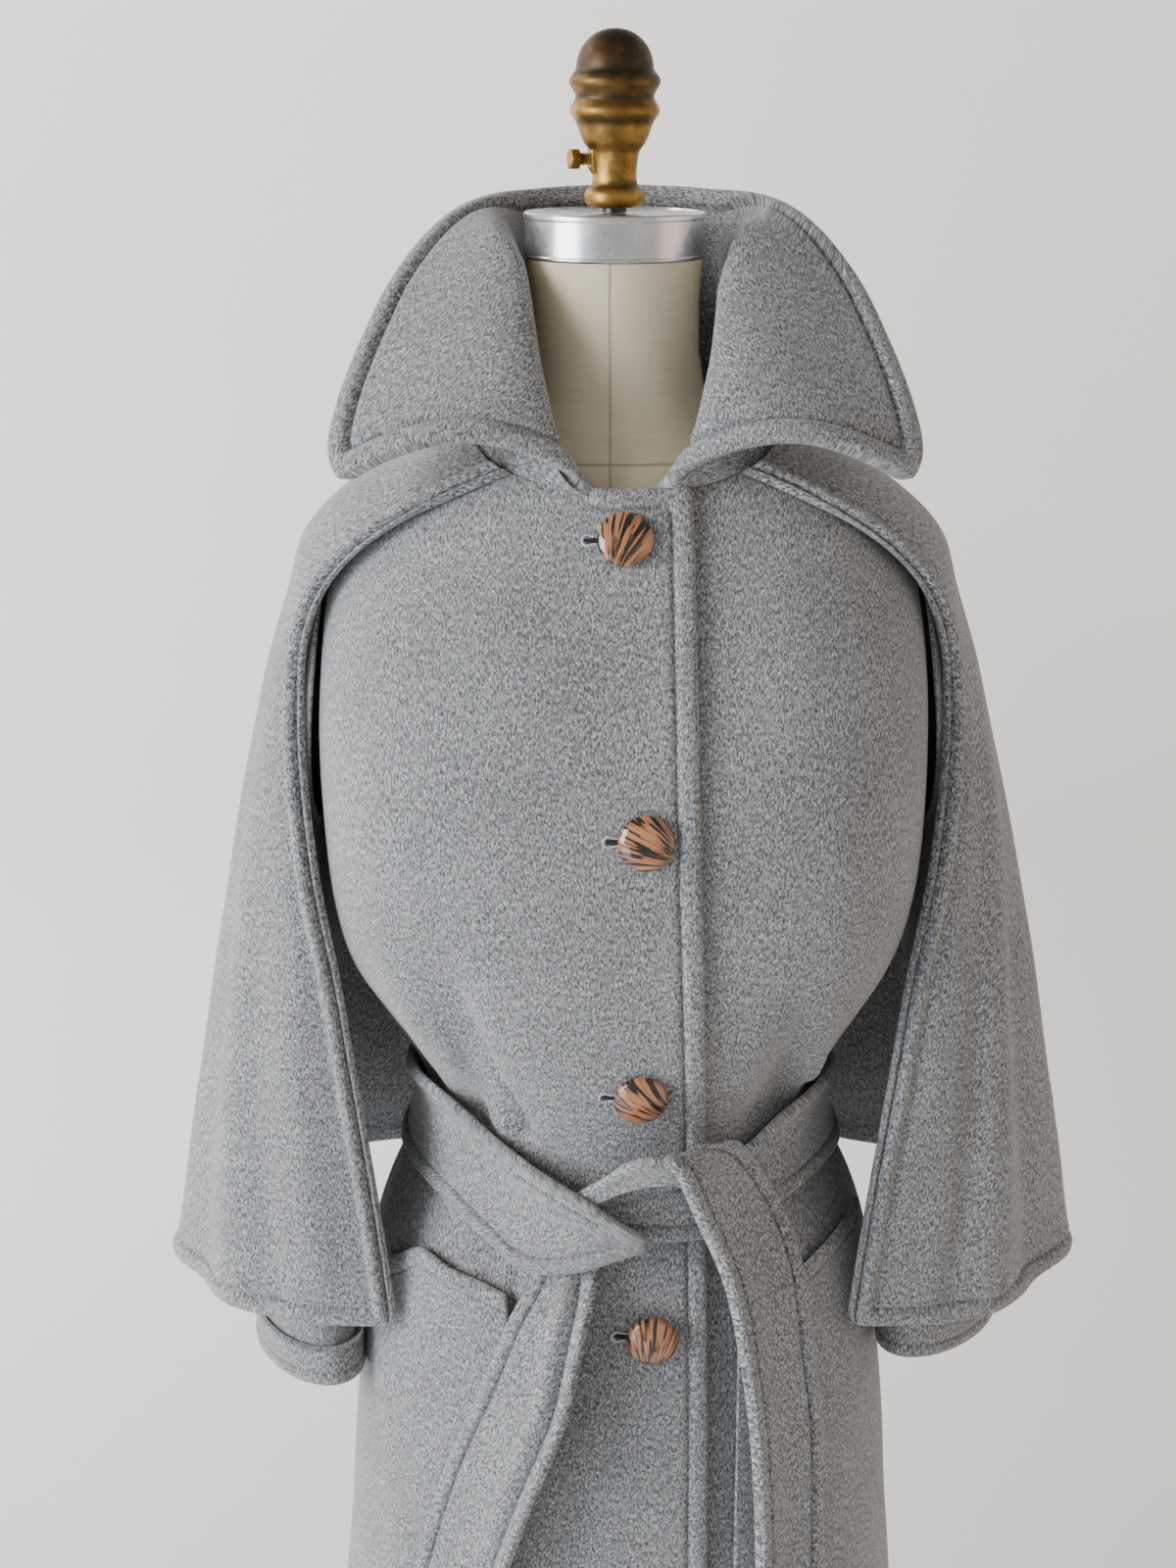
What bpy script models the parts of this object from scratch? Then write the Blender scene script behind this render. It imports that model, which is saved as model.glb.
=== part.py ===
"""A belted wool cape coat worn by a limbless dress form on a round stand.

Metres, +Z up, the front faces -Y. The origin is at the middle of the stand's foot, on the floor.
Right and left are the wearer's: the right side is at -X.
Each cloth piece is a wall between an outer face and an inner face, and both faces
are worked out from the sections in the tables below.
"""

import math
from collections import namedtuple

import bmesh
import bpy
from mathutils import Matrix, Vector

# Cloth
CLOTH = 0.0030            # one layer of heavy wool coating
DOUBLE_CLOTH = 0.0048     # two layers sewn together: collar and belt
SEAM_GAP = 0.0003         # between two panels that are sewn edge to edge
LAID_GAP = 0.0020         # under cloth that lies on other cloth
COAT_X = 0.006            # the coat hangs this far to the wearer's left of the form

# Closing
LAP_STEP = 0.0050         # the under front sits this far behind the upper one
UNDER_EDGE_X = -0.032     # the under front ends here, out of sight
BUTTON_RADIUS = 0.0163
BUTTON_RIM = 0.0045
BUTTON_DOME = 0.0050
BUTTON_LIFT = 0.0006

# Armholes, as ellipses on the body
ARMHOLE_HEIGHT = 1.258
ARMHOLE_HALF_HEIGHT = 0.092
ARMHOLE_FRONT = math.radians(17)
ARMHOLE_BACK = math.radians(25)

HEM_HEIGHT = 0.34
SHOULDER_ROW = 1.350

# Dress form and stand
NECK_CAP_RADIUS = 0.0540
NECK_CAP_TOP = 1.5415
NECK_CAP_HEIGHT = 0.0262
FORM_BOTTOM = 0.74
ROD_RADIUS = 0.0072
POLE_RADIUS = 0.0130
BASE_RADIUS = 0.190
BASE_THICKNESS = 0.012

# Outer face of the coat's body: half width, depth in front of and behind the axis, and how
# square the section is (2 is an ellipse)
BodyRow = namedtuple("BodyRow", "height half_width front back square")
BODY = [
    BodyRow(0.340, 0.215, 0.184, 0.186, 2.2),
    BodyRow(0.480, 0.203, 0.176, 0.177, 2.2),
    BodyRow(0.600, 0.193, 0.169, 0.169, 2.2),
    BodyRow(0.680, 0.186, 0.164, 0.163, 2.2),
    BodyRow(0.760, 0.180, 0.160, 0.158, 2.2),
    BodyRow(0.820, 0.174, 0.156, 0.152, 2.2),
    BodyRow(0.875, 0.166, 0.152, 0.145, 2.2),
    BodyRow(0.905, 0.157, 0.147, 0.137, 2.2),
    BodyRow(0.930, 0.146, 0.141, 0.129, 2.1),
    BodyRow(0.950, 0.135, 0.137, 0.121, 2.1),
    BodyRow(0.975, 0.129, 0.136, 0.118, 2.1),
    BodyRow(1.000, 0.130, 0.140, 0.121, 2.1),
    BodyRow(1.025, 0.141, 0.149, 0.130, 2.2),
    BodyRow(1.055, 0.158, 0.156, 0.140, 2.4),
    BodyRow(1.090, 0.175, 0.160, 0.146, 2.7),
    BodyRow(1.130, 0.183, 0.162, 0.150, 3.0),
    BodyRow(1.170, 0.187, 0.161, 0.153, 3.1),
    BodyRow(1.220, 0.189, 0.154, 0.154, 3.1),
    BodyRow(1.280, 0.187, 0.140, 0.151, 3.0),
    BodyRow(1.320, 0.182, 0.124, 0.145, 2.8),
    BodyRow(1.350, 0.172, 0.110, 0.136, 2.5),
    BodyRow(1.375, 0.152, 0.098, 0.123, 2.4),
    BodyRow(1.395, 0.128, 0.087, 0.108, 2.3),
    BodyRow(1.415, 0.101, 0.076, 0.093, 2.2),
    BodyRow(1.432, 0.082, 0.068, 0.080, 2.1),
    BodyRow(1.455, 0.070, 0.060, 0.070, 2.0),
]

# Height of the neck seam round the neck, by angle from the centre front
NeckRow = namedtuple("NeckRow", "angle height")
NECK_SEAM = [
    NeckRow(0, 1.3915),
    NeckRow(30, 1.395),
    NeckRow(60, 1.410),
    NeckRow(90, 1.4275),
    NeckRow(135, 1.4405),
    NeckRow(180, 1.4445),
]

# Where the upper front's edge runs, and the depth that each long fold goes into the body
EdgeRow = namedtuple("EdgeRow", "height x")
FRONT_EDGE = [
    EdgeRow(0.340, 0.056),
    EdgeRow(0.720, 0.0545),
    EdgeRow(0.880, 0.0530),
    EdgeRow(1.040, 0.0490),
    EdgeRow(1.200, 0.0430),
    EdgeRow(1.400, 0.0390),
]
FoldRow = namedtuple("FoldRow", "angle fullest gone half_angle depth")
BODY_FOLDS = [
    FoldRow(-38, 1.010, 1.180, 7, 0.016),
    FoldRow(-62, 1.010, 1.120, 9, 0.006),
    FoldRow(40, 1.010, 1.160, 7, 0.010),
    FoldRow(66, 1.010, 1.130, 8, 0.007),
    FoldRow(150, 1.010, 1.200, 9, 0.008),
    FoldRow(-150, 1.010, 1.200, 9, 0.008),
    FoldRow(-33, 0.938, 0.880, 5, 0.007),
    FoldRow(118, 0.340, 0.900, 10, 0.012),
    FoldRow(-118, 0.340, 0.900, 10, 0.012),
    FoldRow(162, 0.340, 0.900, 10, 0.009),
    FoldRow(-162, 0.340, 0.900, 10, 0.009),
    FoldRow(64, 0.340, 0.700, 9, 0.007),
    FoldRow(-64, 0.340, 0.700, 9, 0.007),
]
FOLD_START = 0.022        # a fold comes up to its full depth over this height

# The cape, from the neck down: its front edge, its widest place at the side, and the back
CapeRow = namedtuple(
    "CapeRow", "down edge_x edge_y edge_z side_x side_z back_y back_z"
)
CAPE = [
    CapeRow(0.00, 0.058, 0.070, 1.401, 0.088, 1.4275, 0.084, 1.4445),
    CapeRow(0.07, 0.104, 0.078, 1.384, 0.128, 1.4050, 0.108, 1.4220),
    CapeRow(0.14, 0.146, 0.075, 1.359, 0.168, 1.3800, 0.130, 1.3930),
    CapeRow(0.20, 0.174, 0.068, 1.330, 0.196, 1.3520, 0.146, 1.3580),
    CapeRow(0.26, 0.189, 0.062, 1.296, 0.207, 1.3180, 0.157, 1.3200),
    CapeRow(0.34, 0.193, 0.062, 1.250, 0.2220, 1.2700, 0.165, 1.2700),
    CapeRow(0.42, 0.192, 0.067, 1.206, 0.2345, 1.2200, 0.170, 1.2200),
    CapeRow(0.53, 0.185, 0.078, 1.148, 0.2480, 1.1560, 0.175, 1.1560),
    CapeRow(0.64, 0.174, 0.088, 1.088, 0.2600, 1.0920, 0.180, 1.0920),
    CapeRow(0.76, 0.164, 0.097, 1.022, 0.2720, 1.0240, 0.186, 1.0240),
    CapeRow(0.88, 0.152, 0.103, 0.938, 0.2870, 0.9380, 0.194, 0.9380),
    CapeRow(1.00, 0.142, 0.106, 0.856, 0.3000, 0.8560, 0.203, 0.8560),
]
CAPE_SIDE = 0.42          # share of the way round at which the cape is widest
# Folds in the cape: place round it (0 front edge, 1 centre back), half width, depth at the hem
CapeFold = namedtuple("CapeFold", "around half_width depth start")
CAPE_FOLDS = [
    CapeFold(0.12, 0.075, 0.010, 0.35),
    CapeFold(0.30, 0.050, -0.007, 0.18),
    CapeFold(0.42, 0.050, 0.004, 0.18),
    CapeFold(0.56, 0.050, -0.007, 0.20),
    CapeFold(0.68, 0.060, 0.009, 0.20),
    CapeFold(0.82, 0.060, -0.009, 0.20),
    CapeFold(0.95, 0.060, 0.006, 0.20),
]

# The collar from its front end to the centre back: where it meets the neck seam, the roll,
# and the outer edge
CollarRow = namedtuple(
    "CollarRow", "along neck_angle roll_x roll_y roll_z edge_x edge_y edge_z"
)
COLLAR = [
    CollarRow(0.00, 11, 0.0750, 0.110, 1.4190, 0.1640, 0.093, 1.3930),
    CollarRow(0.08, 18, 0.0560, 0.105, 1.4320, 0.1710, 0.087, 1.4120),
    CollarRow(0.17, 28, 0.0480, 0.092, 1.4500, 0.1660, 0.072, 1.4380),
    CollarRow(0.29, 44, 0.0500, 0.070, 1.4730, 0.1540, 0.052, 1.4690),
    CollarRow(0.41, 62, 0.0550, 0.044, 1.4930, 0.1390, 0.028, 1.5000),
    CollarRow(0.53, 82, 0.0610, 0.014, 1.5040, 0.1180, -0.002, 1.5270),
    CollarRow(0.66, 105, 0.0640, -0.020, 1.5030, 0.0940, -0.034, 1.5430),
    CollarRow(0.82, 140, 0.0500, -0.058, 1.5000, 0.0560, -0.072, 1.5510),
    CollarRow(1.00, 180, 0.0000, -0.078, 1.5000, 0.0000, -0.090, 1.5540),
]
ROLL_SHARE = 0.36         # share of a collar rib at which it passes the roll
COLLAR_RISE = 0.0042      # the collar starts this far above the edge of the neck

# The sleeve below the underarm: middle of the tube, its two radii, and its twist about the upright
SleeveRow = namedtuple("SleeveRow", "height x y radius_x radius_y twist")
SLEEVE = [
    SleeveRow(0.806, 0.2110, -0.030, 0.0270, 0.0520, 0.0),
    SleeveRow(0.860, 0.2120, -0.026, 0.0290, 0.0530, 0.0),
    SleeveRow(0.920, 0.2130, -0.018, 0.0315, 0.0540, 0.0),
    SleeveRow(1.000, 0.2130, -0.002, 0.0310, 0.0560, 0.0),
    SleeveRow(1.080, 0.2110, 0.012, 0.0240, 0.0560, 0.0),
    SleeveRow(1.125, 0.2090, 0.016, 0.0190, 0.0550, 0.0),
]
# Where each sleeve ends, and how far its front is turned in towards the body there
CuffRow = namedtuple("CuffRow", "height x twist")
CUFF = {
    "right": CuffRow(0.797, 0.2098, math.radians(28)),
    "left": CuffRow(0.816, 0.2130, math.radians(38)),
}
CUFF_WIDTH = 0.028
CUFF_GAP = 0.0015         # between the sleeve and its turned-up cuff
HEAD_BULGE = 0.018        # how strongly the sleeve's head pushes out of the armhole

# The belt's loop round the waist: angle along it, its two edges, and its lift off the coat
BeltRow = namedtuple("BeltRow", "turn low high lift")
BELT_LOOP = [
    BeltRow(-8, 0.9430, 0.9700, 0.0080),
    BeltRow(6, 0.9380, 0.9780, 0.0085),
    BeltRow(20, 0.9370, 0.9850, 0.0085),
    BeltRow(33, 0.9410, 0.9910, 0.0085),
    BeltRow(44, 0.9470, 1.0050, 0.0085),
    BeltRow(62, 0.9500, 1.0100, 0.0085),
    BeltRow(90, 0.9440, 1.0040, 0.0085),
    BeltRow(180, 0.9420, 1.0060, 0.0085),
    BeltRow(270, 0.9440, 1.0050, 0.0085),
    BeltRow(295, 0.9450, 1.0150, 0.0085),
    BeltRow(312, 0.9420, 1.0140, 0.0090),
    BeltRow(327, 0.9300, 0.9980, 0.0110),
    BeltRow(336, 0.9215, 0.9900, 0.0160),
    BeltRow(344, 0.9215, 0.9820, 0.0200),
    BeltRow(352, 0.9280, 0.9725, 0.0240),
    BeltRow(359, 0.9360, 0.9600, 0.0260),
    BeltRow(365, 0.9410, 0.9500, 0.0260),
]

# Belt ends: the two edges of the strip on the front of the coat, and their lift off it
StripRow = namedtuple(
    "StripRow", "along right_x right_z right_lift left_x left_z left_lift"
)
RIGHT_END = [
    StripRow(0.00, -0.0480, 0.9360, 0.0070, -0.0140, 0.9390, 0.0080),
    StripRow(0.08, -0.0590, 0.9120, 0.0120, -0.0180, 0.9130, 0.0200),
    StripRow(0.18, -0.0725, 0.8880, 0.0180, -0.0260, 0.8830, 0.0330),
    StripRow(0.34, -0.0900, 0.8430, 0.0230, -0.0370, 0.8360, 0.0390),
    StripRow(0.56, -0.1134, 0.7822, 0.0260, -0.0590, 0.7740, 0.0370),
    StripRow(0.78, -0.1342, 0.7049, 0.0280, -0.0825, 0.6960, 0.0340),
    StripRow(1.00, -0.1540, 0.6240, 0.0280, -0.1060, 0.6120, 0.0320),
]
LEFT_END = [
    StripRow(0.000, 0.0130, 1.0050, 0.0300, 0.0480, 1.0100, 0.0260),
    StripRow(0.035, 0.0241, 1.0130, 0.0410, 0.0696, 1.0067, 0.0270),
    StripRow(0.075, 0.0323, 1.0045, 0.0460, 0.0813, 0.9898, 0.0290),
    StripRow(0.150, 0.0434, 0.9734, 0.0480, 0.0977, 0.9572, 0.0340),
    StripRow(0.250, 0.0630, 0.9250, 0.0480, 0.1108, 0.9182, 0.0340),
    StripRow(0.370, 0.0735, 0.8720, 0.0450, 0.1190, 0.8650, 0.0320),
    StripRow(0.490, 0.0800, 0.8250, 0.0420, 0.1255, 0.8180, 0.0300),
    StripRow(0.670, 0.0850, 0.7450, 0.0370, 0.1290, 0.7400, 0.0280),
    StripRow(1.000, 0.0890, 0.5900, 0.0340, 0.1330, 0.5850, 0.0270),
]
# The wrap round the middle of the knot
KNOT = [
    StripRow(0.00, -0.0140, 0.9560, 0.0140, 0.0060, 0.9460, 0.0140),
    StripRow(0.30, -0.0080, 0.9800, 0.0175, 0.0140, 0.9650, 0.0180),
    StripRow(0.65, 0.0020, 0.9980, 0.0200, 0.0240, 0.9770, 0.0210),
    StripRow(1.00, 0.0100, 1.0030, 0.0200, 0.0330, 0.9860, 0.0215),
]

# Patch pocket outline on the front of the coat: its top and bottom edges
PocketRow = namedtuple("PocketRow", "across top_right top_left bottom")
POCKET = [
    PocketRow(0.070, 0.8975, 0.8950, 0.690),
    PocketRow(0.086, 0.9010, 0.8985, 0.691),
    PocketRow(0.104, 0.9050, 0.9030, 0.695),
    PocketRow(0.123, 0.9080, 0.9090, 0.708),
    PocketRow(0.138, 0.8960, 0.9120, 0.724),
    PocketRow(0.151, 0.8830, 0.9110, 0.738),
]

# The lowest button hangs face down a little on its shank
ButtonRow = namedtuple("ButtonRow", "height x droop")
BUTTONS = [
    ButtonRow(1.3640, -0.0005, 0),
    ButtonRow(1.2000, 0.0115, 0),
    ButtonRow(1.0385, 0.0095, 0),
    ButtonRow(0.8765, 0.0175, 11),
]

# The form's covered torso and neck: the same columns as the coat's body
FORM = [
    BodyRow(0.740, 0.148, 0.108, 0.112, 2.2),
    BodyRow(0.800, 0.156, 0.112, 0.124, 2.2),
    BodyRow(0.860, 0.148, 0.108, 0.118, 2.2),
    BodyRow(0.920, 0.128, 0.100, 0.100, 2.2),
    BodyRow(0.980, 0.113, 0.094, 0.088, 2.2),
    BodyRow(1.040, 0.117, 0.100, 0.092, 2.2),
    BodyRow(1.100, 0.128, 0.116, 0.102, 2.3),
    BodyRow(1.170, 0.140, 0.130, 0.116, 2.4),
    BodyRow(1.240, 0.150, 0.124, 0.124, 2.4),
    BodyRow(1.300, 0.160, 0.110, 0.124, 2.4),
    BodyRow(1.340, 0.162, 0.097, 0.122, 2.3),
    BodyRow(1.370, 0.141, 0.083, 0.108, 2.2),
    BodyRow(1.392, 0.116, 0.072, 0.092, 2.1),
    BodyRow(1.410, 0.088, 0.062, 0.074, 2.0),
    BodyRow(1.425, 0.064, 0.0555, 0.0600, 2.0),
    BodyRow(1.440, 0.0545, 0.0520, 0.0535, 2.0),
    BodyRow(1.460, 0.0512, 0.0510, 0.0515, 2.0),
    BodyRow(1.490, 0.0510, 0.0510, 0.0510, 2.0),
    BodyRow(1.5148, 0.0528, 0.0528, 0.0528, 2.0),
]

# Turned profiles, from the bottom up
TurnRow = namedtuple("TurnRow", "height radius")
FINIAL = [
    TurnRow(1.5460, 0.0120),
    TurnRow(1.5480, 0.0163),
    TurnRow(1.5500, 0.0174),
    TurnRow(1.5525, 0.0160),
    TurnRow(1.5550, 0.0130),
    TurnRow(1.5600, 0.0122),
    TurnRow(1.5660, 0.0132),
    TurnRow(1.5720, 0.0152),
    TurnRow(1.5790, 0.0186),
    TurnRow(1.5880, 0.0213),
    TurnRow(1.5930, 0.0240),
    TurnRow(1.5965, 0.0258),
    TurnRow(1.5995, 0.0250),
    TurnRow(1.6035, 0.0224),
    TurnRow(1.6075, 0.0232),
    TurnRow(1.6125, 0.0261),
    TurnRow(1.6160, 0.0250),
    TurnRow(1.6190, 0.0222),
    TurnRow(1.6250, 0.0216),
    TurnRow(1.6320, 0.0184),
    TurnRow(1.6375, 0.0140),
    TurnRow(1.6420, 0.0080),
    TurnRow(1.6445, 0.0),
]
STAND_HUB = [
    TurnRow(BASE_THICKNESS + SEAM_GAP, 0.045),
    TurnRow(BASE_THICKNESS + 0.010, 0.043),
    TurnRow(BASE_THICKNESS + 0.022, 0.024),
    TurnRow(BASE_THICKNESS + 0.050, 0.020),
]
BOLT_HEIGHT = 1.5686
BOLT_RADIUS = 0.0032
BOLT_HEAD_RADIUS = 0.0062
BOLT_HEAD_LENGTH = 0.0070
BOLT_REACH = 0.0280
BOLT_FORWARD = math.radians(18)

COLOURS = {
    "wool": ((0.35, 0.36, 0.38), 0.95, 0.0),
    "button": ((0.55, 0.27, 0.14), 0.25, 0.0),
    "canvas": ((0.70, 0.64, 0.52), 0.85, 0.0),
    "aluminium": ((0.75, 0.75, 0.76), 0.25, 1.0),
    "brass": ((0.42, 0.29, 0.11), 0.40, 1.0),
    "steel": ((0.16, 0.16, 0.17), 0.45, 1.0),
}


# Tables and curves


def row_at(table, key):
    """The row at this value of the first column, on smooth curves through the table's rows."""
    last = len(table) - 1
    key = min(max(key, table[0][0]), table[last][0])
    i = max(k for k in range(last) if table[k][0] <= key)
    before, low, high, after = (
        table[max(i - 1, 0)],
        table[i],
        table[i + 1],
        table[min(i + 2, last)],
    )
    span = high[0] - low[0]
    t = (key - low[0]) / span
    values = [key]
    for column in range(1, len(low)):
        rise_low = (high[column] - before[column]) / (high[0] - before[0]) * span
        rise_high = (after[column] - low[column]) / (after[0] - low[0]) * span
        values.append(
            low[column] * (2 * t**3 - 3 * t**2 + 1)
            + high[column] * (3 * t**2 - 2 * t**3)
            + rise_low * (t**3 - 2 * t**2 + t)
            + rise_high * (t**3 - t**2)
        )
    return type(low)(*values)


def ease(low, high, value):
    """0 below low, 1 above high, and smooth between them."""
    t = min(max((value - low) / (high - low), 0.0), 1.0)
    return t * t * (3 - 2 * t)


def steps(first, last, count):
    """count + 1 even values from first to last."""
    return [first + (last - first) * k / count for k in range(count + 1)]


# The coat's body surface


def section_radius(row, angle):
    depth = row.front if math.cos(angle) > 0 else row.back
    across = abs(math.sin(angle)) / row.half_width
    along = abs(math.cos(angle)) / depth
    return (across**row.square + along**row.square) ** (-1 / row.square)


def fold_depth(angle, z):
    """How far the long folds push the body in at this place."""
    depth = 0.0
    for fold in BODY_FOLDS:
        away = (math.degrees(angle) - fold.angle + 180) % 360 - 180
        if abs(away) < 3 * fold.half_angle:
            run = (z - fold.fullest) / (fold.gone - fold.fullest)
            start = FOLD_START / abs(fold.gone - fold.fullest)
            fade = 1 - ease(0.0, 1.0, run) if run > 0 else 1 - ease(0.0, start, -run)
            depth += fold.depth * fade * math.exp(-((away / fold.half_angle) ** 2))
    return depth


def body_face(angle, z):
    radius = section_radius(row_at(BODY, z), angle) - fold_depth(angle, z)
    return Vector((COAT_X + radius * math.sin(angle), -radius * math.cos(angle), z))


def body_normal(angle, z):
    step = 0.002
    around = body_face(angle + step, z) - body_face(angle - step, z)
    up = body_face(angle, z + step) - body_face(angle, z - step)
    return around.cross(up).normalized()


def body(angle, z, out=0.0):
    """A point on the coat's body, moved out along its normal."""
    return body_face(angle, z) + body_normal(angle, z) * out


def front_angle(x, z):
    """The angle at which the body's section at z passes this x, on the front."""
    angle = 0.0
    for _ in range(8):
        radius = section_radius(row_at(BODY, z), angle)
        angle = math.asin(min(max((x - COAT_X) / radius, -1.0), 1.0))
    return angle


def on_front(x, z, lift):
    """A point in front of the coat, this far forward of its front surface."""
    row = row_at(BODY, z)
    share = min(abs(x - COAT_X) / row.half_width, 0.999)
    depth = row.front * (1 - share**row.square) ** (1 / row.square)
    return Vector((x, -depth - lift, z))


def neck_height(angle):
    from_front = abs((math.degrees(angle) + 180) % 360 - 180)
    return row_at(NECK_SEAM, from_front).height


def armhole(z, spread):
    """How far the armhole's edge is from the side seam at this height, as an angle."""
    rise = (z - ARMHOLE_HEIGHT) / ARMHOLE_HALF_HEIGHT
    return spread * math.sqrt(max(1 - rise * rise, 0.0))


# Solids


def material(name):
    made = bpy.data.materials.get(name)
    if made:
        return made
    colour, roughness, metallic = COLOURS[name]
    made = bpy.data.materials.new(name)
    made.use_nodes = True
    shader = made.node_tree.nodes["Principled BSDF"]
    shader.inputs["Base Color"].default_value = (*colour, 1.0)
    shader.inputs["Roughness"].default_value = roughness
    shader.inputs["Metallic"].default_value = metallic
    made.diffuse_color = (*colour, 1.0)
    return made


def finish(name, mesh_builder, finish_name, smooth=40):
    """Makes the object of a filled bmesh, with its faces pointing out and its own material."""
    bmesh.ops.recalc_face_normals(mesh_builder, faces=mesh_builder.faces)
    mesh = bpy.data.meshes.new(name)
    mesh_builder.to_mesh(mesh)
    mesh_builder.free()
    mesh.shade_smooth()
    mesh.set_sharp_from_angle(angle=math.radians(smooth))
    mesh.materials.append(material(finish_name))
    made = bpy.data.objects.new(name, mesh)
    bpy.context.scene.collection.objects.link(made)
    return made


def wall(name, outer, inner, closed=False, finish_name="wool"):
    """A sheet with thickness: two grids of points, joined round their edges.

    closed joins the last column to the first, for a tube.
    """
    builder = bmesh.new()
    rows, columns = len(outer), len(outer[0])
    faces = [[[builder.verts.new(p) for p in row] for row in grid] for grid in (outer, inner)]
    across = columns if closed else columns - 1
    for side in faces:
        for i in range(rows - 1):
            for j in range(across):
                k = (j + 1) % columns
                builder.faces.new((side[i][j], side[i][k], side[i + 1][k], side[i + 1][j]))
    out, back = faces
    for i in (0, rows - 1):
        for j in range(across):
            k = (j + 1) % columns
            builder.faces.new((out[i][j], out[i][k], back[i][k], back[i][j]))
    if not closed:
        for j in (0, columns - 1):
            for i in range(rows - 1):
                builder.faces.new((out[i][j], out[i + 1][j], back[i + 1][j], back[i][j]))
    return finish(name, builder, finish_name)


def turned(name, profile, finish_name, sides=20, smooth=40):
    """A solid of revolution about the stand's axis, closed at the top and bottom."""
    builder = bmesh.new()
    rings = []
    for row in profile:
        turn = steps(0, 2 * math.pi, sides)[:-1]
        if row.radius == 0:
            rings.append([builder.verts.new((0, 0, row.height))])
            continue
        rings.append(
            [
                builder.verts.new((row.radius * math.cos(a), row.radius * math.sin(a), row.height))
                for a in turn
            ]
        )
    join_rings(builder, rings)
    return finish(name, builder, finish_name, smooth)


def join_rings(builder, rings):
    """Faces between each ring and the next; a ring of one point is a tip, and open ends are capped."""
    for low, high in zip(rings, rings[1:]):
        count = max(len(low), len(high))
        for j in range(count):
            k = (j + 1) % count
            corners = [low[j % len(low)], low[k % len(low)], high[k % len(high)], high[j % len(high)]]
            builder.faces.new(list(dict.fromkeys(corners)))
    for ring in (rings[0], rings[-1]):
        if len(ring) > 1:
            builder.faces.new(ring)


# Coat body


def panel_heights(angle):
    """Heights of a body panel's rows at this angle, from the neck seam down to the hem."""
    seam = neck_height(angle)
    neck = [seam + (SHOULDER_ROW - seam) * share for share in (0.0, 0.3, 0.65)]
    upper = [SHOULDER_ROW, 1.330, 1.305, 1.280, 1.255, 1.230, 1.205, 1.182, 1.166]
    lower = [1.138, 1.108, 1.080, 1.055, 1.034, 1.016, 0.998, 0.978, 0.958, 0.940, 0.922]
    skirt = [0.895, 0.860, 0.800, 0.720, 0.610, 0.480, HEM_HEIGHT]
    return neck + upper + lower + skirt


def body_panel(name, first_angle, last_angle, columns, out):
    """A panel between two angles, each a function of height, from the neck seam to the hem."""
    outer, inner = [], []
    for k, level in enumerate(panel_heights(0.0)):
        outer.append([])
        inner.append([])
        for angle in steps(first_angle(level), last_angle(level), columns):
            height = panel_heights(angle)[k]
            shift = out(angle, height)
            outer[-1].append(body(angle, height, shift))
            inner[-1].append(body(angle, height, shift - CLOTH))
    return wall(name, outer, inner)


def side_angle(z, spread):
    """The angle of a panel's side edge: the side or shoulder seam, or the armhole."""
    seam = 0.5 * SEAM_GAP / section_radius(row_at(BODY, z), math.pi / 2)
    return math.pi / 2 - seam - armhole(z, spread)


def upper_edge(z):
    return front_angle(row_at(FRONT_EDGE, z).x + COAT_X, z)


def under_step(angle, z):
    """The under front lies behind the upper one, and comes forward past its edge."""
    edge = upper_edge(z)
    return -LAP_STEP * (1 - ease(edge + math.radians(2), edge + math.radians(14), angle))


def build_body():
    body_panel(
        "front_right",
        upper_edge,
        lambda z: -side_angle(z, ARMHOLE_FRONT),
        13,
        lambda angle, z: 0.0,
    )
    body_panel(
        "front_left",
        lambda z: front_angle(UNDER_EDGE_X, z),
        lambda z: side_angle(z, ARMHOLE_FRONT),
        13,
        under_step,
    )
    body_panel(
        "back",
        lambda z: math.pi - side_angle(z, ARMHOLE_BACK),
        lambda z: math.pi + side_angle(z, ARMHOLE_BACK),
        16,
        lambda angle, z: 0.0,
    )


# Cape


def clear_of_body(point, gap):
    """The point pushed straight out from the axis until it is clear of the coat's body."""
    x, y = point.x - COAT_X, point.y
    angle = math.atan2(x, -y)
    own = math.hypot(x, y)
    normal = body_normal(angle, point.z)
    outward = normal.x * math.sin(angle) - normal.y * math.cos(angle)
    least = section_radius(row_at(BODY, point.z), angle) + gap / max(outward, 0.4)
    soft = 0.003
    radius = 0.5 * (own + least + math.sqrt((own - least) ** 2 + soft**2))
    return Vector((COAT_X + radius * math.sin(angle), -radius * math.cos(angle), point.z))


def cape_face(around, down, side):
    """Half of the cape's outer face: around runs from the front edge to the centre back."""
    row = row_at(CAPE, down)
    if around < CAPE_SIDE:
        turn = around / CAPE_SIDE * math.pi / 2
        x = row.edge_x + (row.side_x - row.edge_x) * math.sin(turn)
        y = -row.edge_y * math.cos(turn)
        z = row.side_z + (row.edge_z - row.side_z) * math.cos(turn) ** 2
    else:
        turn = (around - CAPE_SIDE) / (1 - CAPE_SIDE) * math.pi / 2
        x = row.side_x * math.cos(turn)
        y = row.back_y * math.sin(turn)
        z = row.side_z + (row.back_z - row.side_z) * math.sin(turn) ** 2
    grow = 0.0
    for fold in CAPE_FOLDS:
        hump = math.exp(-(((around - fold.around) / fold.half_width) ** 2))
        grow += fold.depth * hump * ease(fold.start, 1.0, down)
    reach = math.hypot(x, y)
    point = Vector((COAT_X + x * (1 + grow / reach), y * (1 + grow / reach), z))
    placed = clear_of_body(point, CLOTH + 1.5 * LAID_GAP)
    return Vector((COAT_X + side * (placed.x - COAT_X), placed.y, placed.z))


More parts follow.
